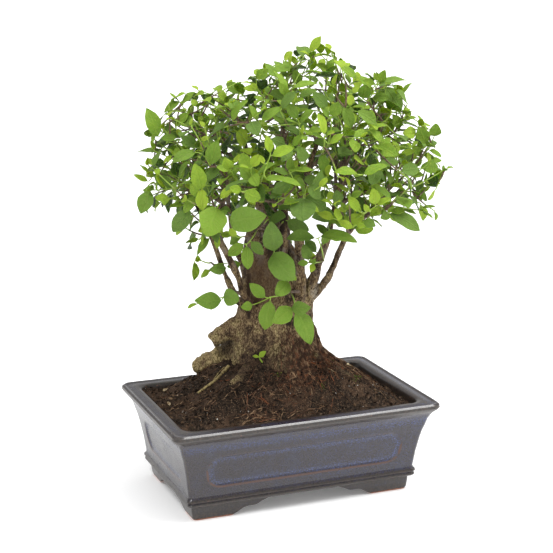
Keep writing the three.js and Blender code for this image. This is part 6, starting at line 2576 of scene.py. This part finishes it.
def moss_finish():
    """Moss, from yellow green to dark."""
    finish = Finish("moss", Specular_IOR_Level=0.1)
    tone = finish.attribute("tone")
    finish.set("Base Color", finish.mix(tone, (0.030, 0.055, 0.008), (0.150, 0.200, 0.030)))
    finish.set("Roughness", 0.85 + 0.1 * tone)
    finish.bump(finish.noise(0.4, 2.0), 0.2)
    return finish.material


def moss():
    """Tufts of small green grains."""
    points, faces = one_grain()
    parts, tones = [], []
    for middle in MOSS_TUFTS:
        for _ in range(MOSS_GRAINS):
            x, y = np.array(middle) + scatter.normal(size=2) * MOSS_SPREAD
            size = scatter.uniform(*MOSS_SIZES)
            shape = turned(points * size, scatter.normal(size=3), scatter.uniform(0, math.tau))
            parts.append((shape + (x, y, ground(x, y) + 0.4 * size), faces))
            tones.append(scatter.random())
    return gathered("moss_tufts", parts, tone=tones)


front = unit(tree_point(0, -0.85, 0.5))
sucker_path = np.array(bent(on_tree(SUCKER_STEM), 4))
sucker = [
    {"base": on_tree([base])[0], "tip": on_tree([tip])[0], "width": width, "normal": front, "age": 0.2,
     "root": sucker_path[-1]}
    for base, tip, width in SUCKER_LEAVES
]
leafy_piece("foot_shoot", [sucker_path], sucker, 0)
scraps = gathered("leaf_scraps", [dry_scrap(*row) for row in SCRAPS])
with_modifier(scraps, "SOLIDIFY", thickness=BLADE_THICK * MM, offset=0)
for piece, finish in ((scraps, scrap_finish()), (moss(), moss_finish())):
    piece.data.materials.append(finish)
    grown_with(piece, "soil" if piece is not scraps else "leaf")
print("on the ground:", len(SCRAPS), "scraps and", len(MOSS_TUFTS), "tufts")

# %% [markdown]
# Studio
# The photograph was made on white with large soft lights, so the plant has hardly a shadow and the glaze
# shows wide pale sheens. A surround that is white all over would do that too, but it lays one even haze on
# every leaf. So the table glows a little, as a light table does, the room is grey half way up and bright
# overhead, and three big soft boxes give leaves and glaze something to mirror.

# %% Floor, lights and surround
FLOOR_SIDE = 32.0
FLOOR_GLOW = (0.14, 0.7)
FLOOR_GLOW_GROWS = (0.5, 3.0)
ROOM_STRENGTH = 1.45
CROWN_SPOT = (0.0, 0.0, 0.25)
# Name, place, side and power of each soft box
SOFT_BOXES = [
    ("key_box", (-0.9, -0.9, 1.5), 0.5, 12), ("fill_box", (1.3, -0.9, 0.9), 0.9, 5),
    ("top_box", (0.66, -0.43, 1.8), 0.8, 26),
]
# The room's brightness by how far up one looks, from level at 0 to straight up at 1
ROOM_BRIGHTNESS = [(0.0, 0.71), (0.1, 0.71), (0.22, 0.42), (0.55, 0.36), (0.8, 0.8), (1.0, 1.0)]


def grey_room():
    """White near the floor, grey half way up, and bright overhead."""
    room = bpy.data.worlds.new("studio_room")
    bpy.context.scene.world = room
    room.use_nodes = True
    nodes, links = room.node_tree.nodes, room.node_tree.links
    direction = nodes.new("ShaderNodeTexCoord")
    parts = nodes.new("ShaderNodeSeparateXYZ")
    ramp = nodes.new("ShaderNodeValToRGB")
    while len(ramp.color_ramp.elements) < len(ROOM_BRIGHTNESS):
        ramp.color_ramp.elements.new(1.0)
    for stop, (up, bright) in zip(ramp.color_ramp.elements, ROOM_BRIGHTNESS):
        stop.position = up
        stop.color = (bright, bright, bright, 1)
    links.new(direction.outputs["Generated"], parts.inputs[0])
    links.new(parts.outputs["Z"], ramp.inputs["Fac"])
    links.new(ramp.outputs["Color"], nodes["Background"].inputs["Color"])
    nodes["Background"].inputs["Strength"].default_value = ROOM_STRENGTH


def studio_floor():
    """A wide, plain, pale floor that glows a little, and more further out."""
    bpy.ops.object.select_all(action="DESELECT")
    bpy.ops.mesh.primitive_plane_add(size=FLOOR_SIDE, location=(0, 0, 0))
    floor = newest("studio_floor")
    finish = Finish("pale_floor", Base_Color=(0.95, 0.95, 0.95, 1), Roughness=0.9, Emission_Strength=1.0)
    away = finish.node("ShaderNodeVectorMath", {"operation": "LENGTH"}, {0: finish.position()}, "Value")
    near_glow, far_glow = [(glow, glow, glow) for glow in FLOOR_GLOW]
    finish.set("Emission Color", finish.mix(away.step(*FLOOR_GLOW_GROWS), near_glow, far_glow))
    floor.data.materials.append(finish.material)
    floor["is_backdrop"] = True


def soft_light(name, place, side, power):
    """A square soft box that points at the crown."""
    lamp = bpy.data.lights.new(name, "AREA")
    lamp.shape = "SQUARE"
    lamp.size = side
    lamp.energy = power
    light = bpy.data.objects.new(name, lamp)
    light.location = place
    light.rotation_euler = (Vector(CROWN_SPOT) - Vector(place)).to_track_quat("-Z", "Y").to_euler()
    bpy.context.scene.collection.objects.link(light)


studio_floor()
for box in SOFT_BOXES:
    soft_light(*box)
grey_room()
bpy.context.scene.view_settings.view_transform = "Standard"
print("studio ready")

# %% [markdown]
# Camera
# Its place, turn and lens were worked out from the straight edges of the pot in the picture, together with
# the pot's proportions.

# %% The camera of the photograph
CAMERA_LENS = 90.62
SENSOR_WIDTH = 36

lens = bpy.data.cameras.new("photograph")
lens.lens = CAMERA_LENS
lens.sensor_width = SENSOR_WIDTH
camera = bpy.data.objects.new("photograph", lens)
camera.location = metres(CAMERA_PLACE)
camera.rotation_euler = (math.radians(90 - CAMERA_DOWN), 0, TREE_TURN)
bpy.context.scene.collection.objects.link(camera)
bpy.context.scene.camera = camera
print("camera at", [round(value, 4) for value in camera.location])

boxes = {"cad": CAD_BOX, "visual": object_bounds()}
{name: [list(corner) for corner in box] for name, box in boxes.items()}
